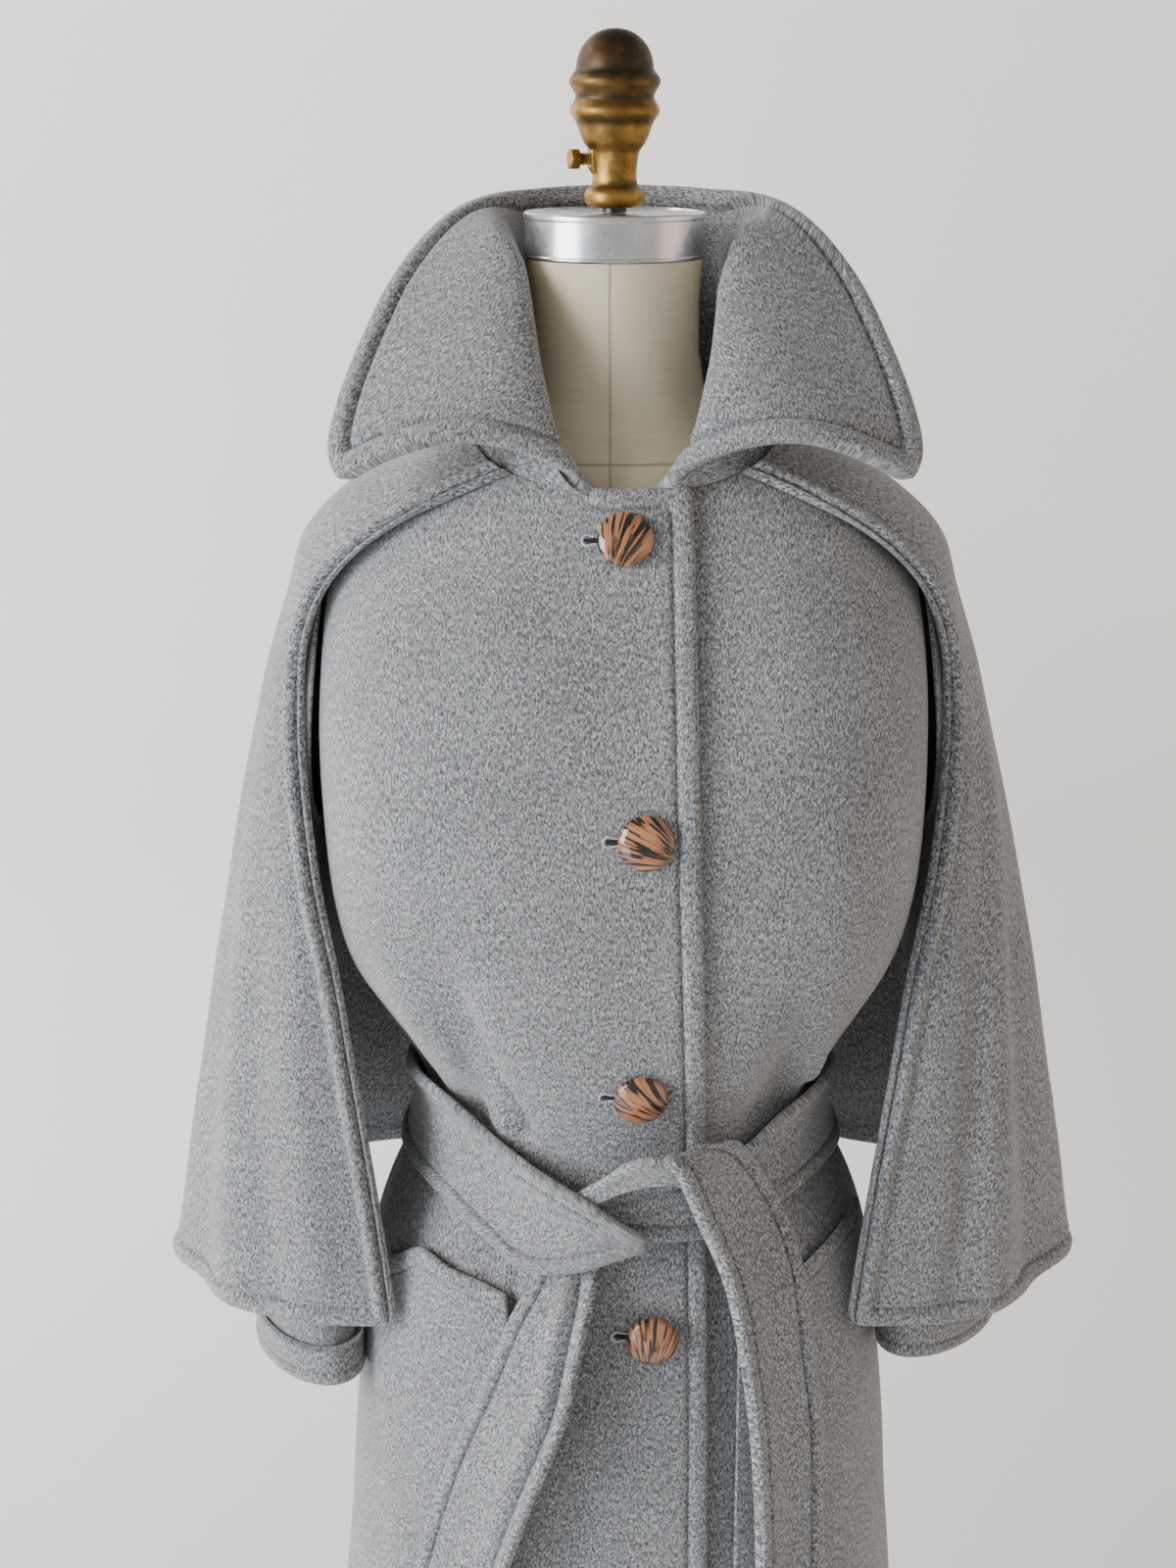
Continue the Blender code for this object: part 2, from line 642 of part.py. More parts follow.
def build_cape():
    down = [0.0, 0.05, 0.10, 0.15, 0.20, 0.25, 0.30, 0.37, 0.45, 0.54, 0.63, 0.72, 0.81, 0.91, 1.0]
    middle = 1 - 0.5 * SEAM_GAP / CAPE[0].side_x
    around = steps(0.0, CAPE_SIDE, 8) + steps(CAPE_SIDE, middle, 9)[1:]
    for name, side in (("right", -1), ("left", 1)):
        outer = [[cape_face(u, v, side) for u in around] for v in down]
        inner = []
        for v, row in zip(down, outer):
            inner.append([])
            for u, point in zip(around, row):
                step = 1e-3
                along = cape_face(u + step, v, side) - cape_face(u - step, v, side)
                fall = cape_face(u, min(v + step, 1), side) - cape_face(u, max(v - step, 0), side)
                normal = along.cross(fall).normalized() * -side
                if u == middle:
                    normal = Vector((0, normal.y, normal.z)).normalized()
                inner[-1].append(point - normal * CLOTH)
        wall("cape_" + name, outer, inner)


# Collar


def collar_face(along, up):
    """The collar's face towards the neck. along is -1 at the right front, 0 behind, 1 at the left."""
    side = -1 if along < 0 else 1
    row = row_at(COLLAR, 1 - abs(along))
    angle = math.radians(row.neck_angle)
    foot = body(angle, neck_height(angle) + COLLAR_RISE, -CLOTH)
    foot.x -= COAT_X
    roll = Vector((row.roll_x, -row.roll_y, row.roll_z))
    edge = Vector((row.edge_x, -row.edge_y, row.edge_z))
    s = ROLL_SHARE
    pull = (roll - foot * (1 - s) ** 2 - edge * s**2) / (2 * s * (1 - s))
    point = foot * (1 - up) ** 2 + pull * 2 * up * (1 - up) + edge * up**2
    return Vector((COAT_X + side * point.x, point.y, point.z))


def build_collar():
    columns = steps(-1, 1, 26)
    rows = steps(0, 1, 8)
    step = 1e-3
    front, behind = [], []
    for v in rows:
        front.append([collar_face(u, v) for u in columns])
        behind.append([])
        for u, point in zip(columns, front[-1]):
            low, high = max(u - step, -1), min(u + step, 1)
            under, over = max(v - step, 0), min(v + step, 1)
            along = collar_face(high, v) - collar_face(low, v)
            rise = collar_face(u, over) - collar_face(u, under)
            behind[-1].append(point - along.cross(rise).normalized() * DOUBLE_CLOTH)
    wall("collar", front, behind)


# Sleeves


def sleeve_rows(name):
    """The sleeve's table, led down to this side's own lower end."""
    end, first = CUFF[name], SLEEVE[0]
    rows = []
    for row in SLEEVE:
        share = 1 - ease(first.height, 1.08, row.height)
        rows.append(
            row._replace(
                height=row.height + (end.height - first.height) * share,
                x=row.x + (end.x - first.x) * share,
                twist=end.twist * share,
            )
        )
    return rows


def sleeve_ring(rows, z, turn, grow=0.0):
    """A point round the sleeve at this height: turn 0 is its front, a quarter turn its outer side."""
    row = row_at(rows, z)
    outward = (row.radius_x + grow) * math.sin(turn)
    forward = (row.radius_y + grow) * math.cos(turn)
    return Vector(
        (
            row.x + outward * math.cos(row.twist) - forward * math.sin(row.twist),
            row.y - outward * math.sin(row.twist) - forward * math.cos(row.twist),
            z,
        )
    )


def sleeve_head(rows, turn, share):
    """The bend from the armhole, which faces sideways, into the hanging tube."""
    spread = ARMHOLE_FRONT if math.cos(turn) > 0 else ARMHOLE_BACK
    height = ARMHOLE_HEIGHT + (ARMHOLE_HALF_HEIGHT + 0.002) * math.sin(turn)
    angle = math.pi / 2 - (spread + 0.02) * math.cos(turn)
    start = body(angle, height, CLOTH + LAID_GAP)
    start.x -= COAT_X
    end = sleeve_ring(rows, rows[-1].height, turn)
    reach = (end - start).length
    outward = Vector((1, 0, 0)) * min(0.5 * reach, HEAD_BULGE)
    fall = Vector((0, 0, -1)) * reach * 0.95
    t = share
    return (
        start * (2 * t**3 - 3 * t**2 + 1)
        + end * (3 * t**2 - 2 * t**3)
        + outward * (t**3 - 2 * t**2 + t)
        + fall * (t**3 - t**2)
    )


def ring_normals(ring_points, next_points):
    """Outward directions of a tube's ring, from its neighbours round it and below it."""
    count = len(ring_points)
    normals = []
    for j, point in enumerate(ring_points):
        along = ring_points[(j + 1) % count] - ring_points[j - 1]
        normals.append(along.cross(next_points[j] - point).normalized() * -1)
    return normals


def build_sleeves():
    turns = steps(0, 2 * math.pi, 16)[:-1]
    for name, side in (("right", -1), ("left", 1)):
        rows = sleeve_rows(name)
        end = CUFF[name].height
        rings = [[sleeve_head(rows, t, share) for t in turns] for share in steps(0, 1, 5)]
        heights = [1.085, 1.04, 0.98, 0.92, end + 0.055, end]
        rings += [[sleeve_ring(rows, z, t) for t in turns] for z in heights]
        inner = []
        for i, ring in enumerate(rings):
            below = rings[i + 1] if i + 1 < len(rings) else ring
            above = ring if i + 1 < len(rings) else rings[i - 1]
            normals = ring_normals(above, below)
            inner.append([p - n * CLOTH for p, n in zip(ring, normals)])
        mirrored = [[across(p, side) for p in ring] for ring in rings]
        wall("sleeve_" + name, mirrored, [[across(p, side) for p in r] for r in inner], True)
        cuff_heights = steps(end + SEAM_GAP, end + CUFF_WIDTH, 2)
        outer = [[sleeve_ring(rows, z, t, CUFF_GAP + CLOTH) for t in turns] for z in cuff_heights]
        skin = [[sleeve_ring(rows, z, t, CUFF_GAP) for t in turns] for z in cuff_heights]
        wall(
            "cuff_" + name,
            [[across(p, side) for p in r] for r in outer],
            [[across(p, side) for p in r] for r in skin],
            True,
        )


def across(point, side):
    """A point given from the coat's own middle, put on the wearer's left (1) or right (-1)."""
    return Vector((COAT_X + side * point.x, point.y, point.z))


# Belt


def belt_face(turn, share):
    row = row_at(BELT_LOOP, turn)
    angle = math.radians(turn)
    z = row.high + (row.low - row.high) * share
    middle = section_radius(row_at(BODY, 0.5 * (row.low + row.high)), angle)
    reach = max(section_radius(row_at(BODY, z), angle), middle) + row.lift
    return Vector((COAT_X + reach * math.sin(angle), -reach * math.cos(angle), z))


def strip_face(table, share, along):
    """A belt end: share runs from its right edge to its left edge."""
    row = row_at(table, along)
    right = on_front(row.right_x + COAT_X, row.right_z, row.right_lift)
    left = on_front(row.left_x + COAT_X, row.left_z, row.left_lift)
    return right + (left - right) * share


def build_belt():
    turns = [-8, 2, 12, 24, 36] + steps(48, 302, 22) + [312, 321, 329, 336, 344, 352, 359, 365]
    outer, inner = [], []
    for share in steps(0, 1, 3):
        outer.append([belt_face(t, share) for t in turns])
        inner.append([])
        for turn, point in zip(turns, outer[-1]):
            angle = math.radians(turn)
            inner[-1].append(
                point - Vector((math.sin(angle), -math.cos(angle), 0)) * DOUBLE_CLOTH
            )
    wall("belt_loop", outer, inner)
    for name, table, count in (
        ("belt_knot", KNOT, 6),
        ("belt_end_right", RIGHT_END, 14),
        ("belt_end_left", LEFT_END, 16),
    ):
        shares = steps(0, 1, 3)
        lengths = steps(0, 1, count)
        outer = [[strip_face(table, s, v) for s in shares] for v in lengths]
        inner = []
        for v, row in zip(lengths, outer):
            inner.append([])
            for point, s in zip(row, shares):
                over = strip_face(table, min(s + 0.01, 1), v) - strip_face(table, max(s - 0.01, 0), v)
                on = strip_face(table, s, min(v + 0.01, 1)) - strip_face(table, s, max(v - 0.01, 0))
                inner[-1].append(point + over.cross(on).normalized() * DOUBLE_CLOTH)
        wall(name, outer, inner)


# Pockets and buttons


def build_pockets():
    for name, side in (("right", -1), ("left", 1)):
        outer, inner = [], []
        for share in steps(0, 1, 6):
            outer.append([])
            inner.append([])
            for row in POCKET:
                top = row.top_left if side > 0 else row.top_right
                z = top + (row.bottom - top) * share
                angle = side * front_angle(COAT_X + row.across, z)
                outer[-1].append(body(angle, z, LAID_GAP + CLOTH))
                inner[-1].append(body(angle, z, LAID_GAP))
        wall("pocket_" + name, outer, inner)


def build_buttons():
    """Domed discs, each just clear of the upper front."""
    dome = [TurnRow(0.0, 0.92), TurnRow(0.25, 1.0), TurnRow(0.52, 0.98), TurnRow(0.78, 0.78)]
    dome += [TurnRow(0.93, 0.45), TurnRow(1.0, 0.0)]
    height = BUTTON_RIM + BUTTON_DOME
    for number, row in enumerate(BUTTONS, 1):
        made = turned(
            "button_" + str(number),
            [TurnRow(r.height * height, r.radius * BUTTON_RADIUS) for r in dome],
            "button",
        )
        angle = front_angle(row.x + COAT_X, row.height)
        droop = math.radians(row.droop)
        facing = Matrix.Rotation(droop, 3, "X") @ body_normal(angle, row.height)
        lift = BUTTON_LIFT + BUTTON_RADIUS * math.sin(droop)
        turn = Vector((0, 0, 1)).rotation_difference(facing).to_matrix().to_4x4()
        made.data.transform(Matrix.Translation(body(angle, row.height, lift)) @ turn)


# Dress form and stand


def build_form():
    builder = bmesh.new()
    rings = []
    for z in [0.740, 0.770] + steps(0.80, 1.34, 11) + [r.height for r in FORM[11:]]:
        row = row_at(FORM, z)
        rings.append([])
        for angle in steps(0, 2 * math.pi, 24)[:-1]:
            radius = section_radius(row, angle)
            rings[-1].append(
                builder.verts.new((radius * math.sin(angle), -radius * math.cos(angle), z))
            )
    join_rings(builder, rings)
    finish("form_torso", builder, "canvas")
    top, low = NECK_CAP_TOP, NECK_CAP_TOP - NECK_CAP_HEIGHT
    cap = [
        TurnRow(low, NECK_CAP_RADIUS),
        TurnRow(top - 0.0008, NECK_CAP_RADIUS),
        TurnRow(top, NECK_CAP_RADIUS - 0.0008),
        TurnRow(top, NECK_CAP_RADIUS - 0.0040),
        TurnRow(top - 0.0010, NECK_CAP_RADIUS - 0.0045),
    ]
    turned("form_neck_cap", cap, "aluminium", sides=36)
    rod = [TurnRow(top - 0.0007, ROD_RADIUS), TurnRow(FINIAL[0].height - SEAM_GAP, ROD_RADIUS)]
    turned("form_rod", rod, "steel", sides=16)
    turned("form_finial", FINIAL, "brass")
    pole = [
        TurnRow(STAND_HUB[-1].height + SEAM_GAP, POLE_RADIUS),
        TurnRow(FORM_BOTTOM - SEAM_GAP, POLE_RADIUS),
    ]
    turned("stand_pole", pole, "steel")
    turned("stand_hub", STAND_HUB, "steel")
    base = [
        TurnRow(0.0, BASE_RADIUS - 0.002),
        TurnRow(0.002, BASE_RADIUS),
        TurnRow(BASE_THICKNESS - 0.003, BASE_RADIUS),
        TurnRow(BASE_THICKNESS, BASE_RADIUS - 0.004),
    ]
    turned("stand_base", base, "steel", sides=48)


def build_set_bolt():
    """The hex bolt that clamps the finial on its rod, pointing right and a little forward."""
    builder = bmesh.new()
    rings = []
    profile = [
        (BOLT_REACH, BOLT_HEAD_RADIUS, 6),
        (BOLT_REACH - BOLT_HEAD_LENGTH, BOLT_HEAD_RADIUS, 6),
    ]
    inner_end = row_at(FINIAL, BOLT_HEIGHT + BOLT_RADIUS).radius + SEAM_GAP
    outward = Vector((-math.cos(BOLT_FORWARD), -math.sin(BOLT_FORWARD), 0))
    side = Vector((0, 0, 1)).cross(outward)
    count = 12
    profile += [(BOLT_REACH - BOLT_HEAD_LENGTH, BOLT_RADIUS, 0), (inner_end, BOLT_RADIUS, 0)]
    for reach, radius, corners in profile:
        rings.append([])
        for k in range(count):
            angle = 2 * math.pi * k / count
            size = radius
            if corners:
                size = radius * math.cos(math.pi / 6) / math.cos(
                    (angle + math.pi / 6) % (math.pi / 3) - math.pi / 6
                )
            place = outward * reach + side * size * math.cos(angle)
            rings[-1].append(
                builder.verts.new((place.x, place.y, BOLT_HEIGHT + size * math.sin(angle)))
            )
    join_rings(builder, rings)
    finish("form_set_bolt", builder, "brass")


def main():
    for old in list(bpy.data.objects):
        bpy.data.objects.remove(old)
    build_body()
    build_cape()
    build_collar()
    build_sleeves()
    build_belt()
    build_pockets()
    build_buttons()
    build_form()
    build_set_bolt()


main()
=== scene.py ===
"""Looks of a belted wool cape coat on a limbless dress form, over its own solids.

Metres, +Z up, the front faces -Y. Right and left are the wearer's: the right side is at -X.
Each cloth piece is laid out again on the surface of its solid, finely enough for its sewn
edges: a puffed band along the edge, the groove of the stitching, and a rounded rim.
"""

import math
from collections import namedtuple
from types import SimpleNamespace

import bmesh
import bpy
import numpy as np
from mathutils import Matrix, Vector
from mathutils.bvhtree import BVHTree


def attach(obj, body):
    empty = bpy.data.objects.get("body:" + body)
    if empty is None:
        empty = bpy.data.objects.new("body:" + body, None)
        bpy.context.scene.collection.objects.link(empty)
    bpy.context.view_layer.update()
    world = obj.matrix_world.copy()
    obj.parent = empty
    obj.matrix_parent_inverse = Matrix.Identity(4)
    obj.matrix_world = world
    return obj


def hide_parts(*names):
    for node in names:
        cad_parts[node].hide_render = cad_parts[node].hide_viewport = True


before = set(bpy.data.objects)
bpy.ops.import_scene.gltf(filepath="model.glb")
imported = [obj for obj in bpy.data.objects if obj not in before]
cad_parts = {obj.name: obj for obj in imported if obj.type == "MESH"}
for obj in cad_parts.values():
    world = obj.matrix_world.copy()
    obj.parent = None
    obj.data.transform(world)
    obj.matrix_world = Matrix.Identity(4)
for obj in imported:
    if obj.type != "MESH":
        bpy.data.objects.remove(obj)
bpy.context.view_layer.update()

# Cloth
CLOTH = 0.0030            # one layer of heavy wool coating
DOUBLE_CLOTH = 0.0048     # two layers sewn together: collar and belt
TURNED_EDGE = 0.0056      # where a single layer is turned under and stitched
FRONT_EDGE_THICK = 0.0044
SEAM_GAP = 0.0003
LAID_GAP = 0.0020
CLEARING_BLEND = 0.003    # how softly the cape leaves the body under it
COAT_X = 0.006            # the coat hangs this far to the wearer's left of the form

# Sewing
BAND = 0.0130             # from an edge to its row of stitches
COLLAR_BAND = 0.0148
BELT_BAND = 0.0105
CUFF_BAND = 0.0090
PUFF = 0.0028             # how far the cloth stands up between edge and stitches
STITCH_HALF_WIDTH = 0.0009
COLLAR_PUFF = 0.0042
COLLAR_EDGE_THICK = 0.0072
CAPE_BAND = 0.0138
CAPE_EDGE_THICK = 0.0056
ROLL_PUFF = 0.0048
BELT_PUFF = 0.0019
KNOT_BAND = 0.0070
CUFF_PUFF = 0.0010
POCKET_BAND = 0.0120
STITCH_LENGTH = 0.0036
SEAM_RIM = 0.0012         # rounding of an edge that is sewn to its neighbour
PLACKET_TOP = 0.056       # the stitched stretch of the neck edge, from the front edge

# Closing
LAP_STEP = 0.0050
UNDER_EDGE_X = -0.032
BUTTON_RADIUS = 0.0163
BUTTON_HEIGHT = 0.0095
BUTTON_LIFT = 0.0006
BUTTONHOLE_REACH = 0.0245  # from the button's middle to the far end of its buttonhole
BUTTONHOLE_LENGTH = 0.0135
BUTTONHOLE_HEIGHT = 0.0062
BUTTONHOLE_CORD = 0.00080
BUTTONHOLE_STITCHES = 36
BUTTONHOLE_STITCH = 0.00022

# Armholes, as ellipses on the body
ARMHOLE_HEIGHT = 1.258
ARMHOLE_HALF_HEIGHT = 0.092
ARMHOLE_FRONT = math.radians(17)
ARMHOLE_BACK = math.radians(25)

HEM_HEIGHT = 0.34
SHOULDER_ROW = 1.350

# Dress form and stand
NECK_CAP_RADIUS = 0.0540
NECK_CAP_TOP = 1.5415
NECK_CAP_HEIGHT = 0.0262
FORM_BOTTOM = 0.74
ROD_RADIUS = 0.0072
POLE_RADIUS = 0.0130
BASE_RADIUS = 0.190
BASE_THICKNESS = 0.012
NECK_FRONT_SEAM_X = -0.0028
NECK_RING_SEAM = 1.4014

# Camera, worked out from the photograph
CAMERA_PLACE = (-0.0157, -1.376, 1.617)
CAMERA_PITCH = 17.4
CAMERA_LENS = 51.75

# Backdrop: a flat floor, its bend and the height of its wall
SWEEP_FLOOR = 3.6
SWEEP_BEND = 1.6
SWEEP_WALL = 5.5


class Table:
    """Rows of sizes, read at any value of their first column on smooth curves."""

    def __init__(self, columns, rows):
        self.columns = columns.split()
        self.rows = np.array(rows, float)

    def at(self, key):
        rows, last = self.rows, len(self.rows) - 1
        key = np.clip(key, rows[0, 0], rows[last, 0])
        i = np.clip(np.searchsorted(rows[:, 0], key, side="right") - 1, 0, last - 1)
        before, low, high, after = (
            rows[np.maximum(i - 1, 0)],
            rows[i],
            rows[i + 1],
            rows[np.minimum(i + 2, last)],
        )
        span = high[..., :1] - low[..., :1]
        t = (np.asarray(key)[..., None] - low[..., :1]) / span
        rise_low = (high - before) / (high[..., :1] - before[..., :1]) * span
        rise_high = (after - low) / (after[..., :1] - low[..., :1]) * span
        values = (
            low * (2 * t**3 - 3 * t**2 + 1)
            + high * (3 * t**2 - 2 * t**3)
            + rise_low * (t**3 - 2 * t**2 + t)
            + rise_high * (t**3 - t**2)
        )
        return SimpleNamespace(**{n: values[..., k] for k, n in enumerate(self.columns)})


# Outer face of the coat's body
BODY = Table("height half_width front back square", [
    (0.340, 0.215, 0.184, 0.186, 2.2),
    (0.480, 0.203, 0.176, 0.177, 2.2),
    (0.600, 0.193, 0.169, 0.169, 2.2),
    (0.680, 0.186, 0.164, 0.163, 2.2),
    (0.760, 0.180, 0.160, 0.158, 2.2),
    (0.820, 0.174, 0.156, 0.152, 2.2),
    (0.875, 0.166, 0.152, 0.145, 2.2),
    (0.905, 0.157, 0.147, 0.137, 2.2),
    (0.930, 0.146, 0.141, 0.129, 2.1),
    (0.950, 0.135, 0.137, 0.121, 2.1),
    (0.975, 0.129, 0.136, 0.118, 2.1),
    (1.000, 0.130, 0.140, 0.121, 2.1),
    (1.025, 0.141, 0.149, 0.130, 2.2),
    (1.055, 0.158, 0.156, 0.140, 2.4),
    (1.090, 0.175, 0.160, 0.146, 2.7),
    (1.130, 0.183, 0.162, 0.150, 3.0),
    (1.170, 0.187, 0.161, 0.153, 3.1),
    (1.220, 0.189, 0.154, 0.154, 3.1),
    (1.280, 0.187, 0.140, 0.151, 3.0),
    (1.320, 0.182, 0.124, 0.145, 2.8),
    (1.350, 0.172, 0.110, 0.136, 2.5),
    (1.375, 0.152, 0.098, 0.123, 2.4),
    (1.395, 0.128, 0.087, 0.108, 2.3),
    (1.415, 0.101, 0.076, 0.093, 2.2),
    (1.432, 0.082, 0.068, 0.080, 2.1),
    (1.455, 0.070, 0.060, 0.070, 2.0),
])
NECK_SEAM = Table("angle height", [
    (0, 1.3915),
    (30, 1.395),
    (60, 1.410),
    (90, 1.4275),
    (135, 1.4405),
    (180, 1.4445),
])
FRONT_EDGE = Table("height x", [
    (0.340, 0.056),
    (0.720, 0.0545),
    (0.880, 0.0530),
    (1.040, 0.0490),
    (1.200, 0.0430),
    (1.400, 0.0390),
])
Fold = namedtuple("Fold", "angle fullest gone half_angle depth")
BODY_FOLDS = [
    Fold(-38, 1.010, 1.180, 7, 0.016),
    Fold(-62, 1.010, 1.120, 9, 0.006),
    Fold(40, 1.010, 1.160, 7, 0.010),
    Fold(66, 1.010, 1.130, 8, 0.007),
    Fold(150, 1.010, 1.200, 9, 0.008),
    Fold(-150, 1.010, 1.200, 9, 0.008),
    Fold(-33, 0.938, 0.880, 5, 0.007),
    Fold(118, 0.340, 0.900, 10, 0.012),
    Fold(-118, 0.340, 0.900, 10, 0.012),
    Fold(162, 0.340, 0.900, 10, 0.009),
    Fold(-162, 0.340, 0.900, 10, 0.009),
    Fold(64, 0.340, 0.700, 9, 0.007),
    Fold(-64, 0.340, 0.700, 9, 0.007),
]
FOLD_START = 0.022

CAPE = Table("down edge_x edge_y edge_z side_x side_z back_y back_z", [
    (0.00, 0.058, 0.070, 1.401, 0.088, 1.4275, 0.084, 1.4445),
    (0.07, 0.104, 0.078, 1.384, 0.128, 1.4050, 0.108, 1.4220),
    (0.14, 0.146, 0.075, 1.359, 0.168, 1.3800, 0.130, 1.3930),
    (0.20, 0.174, 0.068, 1.330, 0.196, 1.3520, 0.146, 1.3580),
    (0.26, 0.189, 0.062, 1.296, 0.207, 1.3180, 0.157, 1.3200),
    (0.34, 0.193, 0.062, 1.250, 0.2220, 1.2700, 0.165, 1.2700),
    (0.42, 0.192, 0.067, 1.206, 0.2345, 1.2200, 0.170, 1.2200),
    (0.53, 0.185, 0.078, 1.148, 0.2480, 1.1560, 0.175, 1.1560),
    (0.64, 0.174, 0.088, 1.088, 0.2600, 1.0920, 0.180, 1.0920),
    (0.76, 0.164, 0.097, 1.022, 0.2720, 1.0240, 0.186, 1.0240),
    (0.88, 0.152, 0.103, 0.938, 0.2870, 0.9380, 0.194, 0.9380),
    (1.00, 0.142, 0.106, 0.856, 0.3000, 0.8560, 0.203, 0.8560),
])
CAPE_SIDE = 0.42
CapeFold = namedtuple("CapeFold", "around half_width depth start")
CAPE_FOLDS = [
    CapeFold(0.12, 0.075, 0.010, 0.35),
    CapeFold(0.30, 0.050, -0.007, 0.18),
    CapeFold(0.42, 0.050, 0.004, 0.18),
    CapeFold(0.56, 0.050, -0.007, 0.20),
    CapeFold(0.68, 0.060, 0.009, 0.20),
    CapeFold(0.82, 0.060, -0.009, 0.20),
    CapeFold(0.95, 0.060, 0.006, 0.20),
]

COLLAR = Table("along neck_angle roll_x roll_y roll_z edge_x edge_y edge_z", [
    (0.00, 11, 0.0750, 0.110, 1.4190, 0.1640, 0.093, 1.3930),
    (0.08, 18, 0.0560, 0.105, 1.4320, 0.1710, 0.087, 1.4120),
    (0.17, 28, 0.0480, 0.092, 1.4500, 0.1660, 0.072, 1.4380),
    (0.29, 44, 0.0500, 0.070, 1.4730, 0.1540, 0.052, 1.4690),
    (0.41, 62, 0.0550, 0.044, 1.4930, 0.1390, 0.028, 1.5000),
    (0.53, 82, 0.0610, 0.014, 1.5040, 0.1180, -0.002, 1.5270),
    (0.66, 105, 0.0640, -0.020, 1.5030, 0.0940, -0.034, 1.5430),
    (0.82, 140, 0.0500, -0.058, 1.5000, 0.0560, -0.072, 1.5510),
    (1.00, 180, 0.0000, -0.078, 1.5000, 0.0000, -0.090, 1.5540),
])
ROLL_SHARE = 0.36
COLLAR_RISE = 0.0005

SLEEVE_TOP, SLEEVE_LED = 1.125, 1.08
SLEEVE_HEAD_SHARE = 0.38  # of the sleeve's cloth, from the armhole to the straight tube
SLEEVE_ROWS = [
    (0.806, 0.2110, -0.030, 0.0270, 0.0520, 0.0),
    (0.860, 0.2120, -0.026, 0.0290, 0.0530, 0.0),
    (0.920, 0.2130, -0.018, 0.0315, 0.0540, 0.0),
    (1.000, 0.2130, -0.002, 0.0310, 0.0560, 0.0),
    (1.080, 0.2110, 0.012, 0.0240, 0.0560, 0.0),
    (SLEEVE_TOP, 0.2090, 0.016, 0.0190, 0.0550, 0.0),
]
Cuff = namedtuple("Cuff", "height x twist")
CUFF = {
    "right": Cuff(0.797, 0.2098, math.radians(28)),
    "left": Cuff(0.816, 0.2130, math.radians(38)),
}
CUFF_WIDTH = 0.028
CUFF_GAP = 0.0015
# The zigzag thread on a cuff's raw upper edge
OVERLOCK_POINTS = 260
OVERLOCK_LOW = 0.0030
OVERLOCK_WIDTH = 0.0032
OVERLOCK_THREAD = 0.00035
HEAD_BULGE = 0.018

BELT_START, BELT_STOP = -8, 365  # degrees round from the front
BELT_LOOP = Table("turn low high lift", [
    (-8, 0.9430, 0.9700, 0.0080),
    (6, 0.9380, 0.9780, 0.0085),
    (20, 0.9370, 0.9850, 0.0085),
    (33, 0.9410, 0.9910, 0.0085),
    (44, 0.9470, 1.0050, 0.0085),
    (62, 0.9500, 1.0100, 0.0085),
    (90, 0.9440, 1.0040, 0.0085),
    (180, 0.9420, 1.0060, 0.0085),
    (270, 0.9440, 1.0050, 0.0085),
    (295, 0.9450, 1.0150, 0.0085),
    (312, 0.9420, 1.0140, 0.0090),
    (327, 0.9300, 0.9980, 0.0110),
    (336, 0.9215, 0.9900, 0.0160),
    (344, 0.9215, 0.9820, 0.0200),
    (352, 0.9280, 0.9725, 0.0240),
    (359, 0.9360, 0.9600, 0.0260),
    (365, 0.9410, 0.9500, 0.0260),
])
STRIP = "along right_x right_z right_lift left_x left_z left_lift"
RIGHT_END = Table(STRIP, [
    (0.00, -0.0480, 0.9360, 0.0070, -0.0140, 0.9390, 0.0080),
    (0.08, -0.0590, 0.9120, 0.0120, -0.0180, 0.9130, 0.0200),
    (0.18, -0.0725, 0.8880, 0.0180, -0.0260, 0.8830, 0.0330),
    (0.34, -0.0900, 0.8430, 0.0230, -0.0370, 0.8360, 0.0390),
    (0.56, -0.1134, 0.7822, 0.0260, -0.0590, 0.7740, 0.0370),
    (0.78, -0.1342, 0.7049, 0.0280, -0.0825, 0.6960, 0.0340),
    (1.00, -0.1540, 0.6240, 0.0280, -0.1060, 0.6120, 0.0320),
])
LEFT_END = Table(STRIP, [
    (0.000, 0.0195, 1.0115, 0.0370, 0.0480, 1.0120, 0.0250),
    (0.035, 0.0250, 1.0105, 0.0425, 0.0696, 1.0067, 0.0270),
    (0.075, 0.0320, 1.0025, 0.0460, 0.0813, 0.9898, 0.0290),
    (0.150, 0.0434, 0.9734, 0.0480, 0.0977, 0.9572, 0.0340),
    (0.250, 0.0630, 0.9250, 0.0480, 0.1108, 0.9182, 0.0340),
    (0.370, 0.0735, 0.8720, 0.0450, 0.1190, 0.8650, 0.0320),
    (0.490, 0.0800, 0.8250, 0.0420, 0.1255, 0.8180, 0.0300),
    (0.670, 0.0850, 0.7450, 0.0370, 0.1290, 0.7400, 0.0280),
    (1.000, 0.0890, 0.5900, 0.0340, 0.1330, 0.5850, 0.0270),
])
KNOT = Table(STRIP, [
    (0.00, -0.0290, 0.9720, 0.0120, -0.0185, 0.9640, 0.0120),
    (0.25, -0.0130, 0.9885, 0.0215, -0.0035, 0.9780, 0.0195),
    (0.50, -0.0010, 1.0025, 0.0285, 0.0090, 0.9865, 0.0250),
    (0.75, 0.0115, 1.0118, 0.0350, 0.0210, 0.9910, 0.0300),
    (1.00, 0.0280, 1.0100, 0.0360, 0.0350, 0.9910, 0.0330),
])

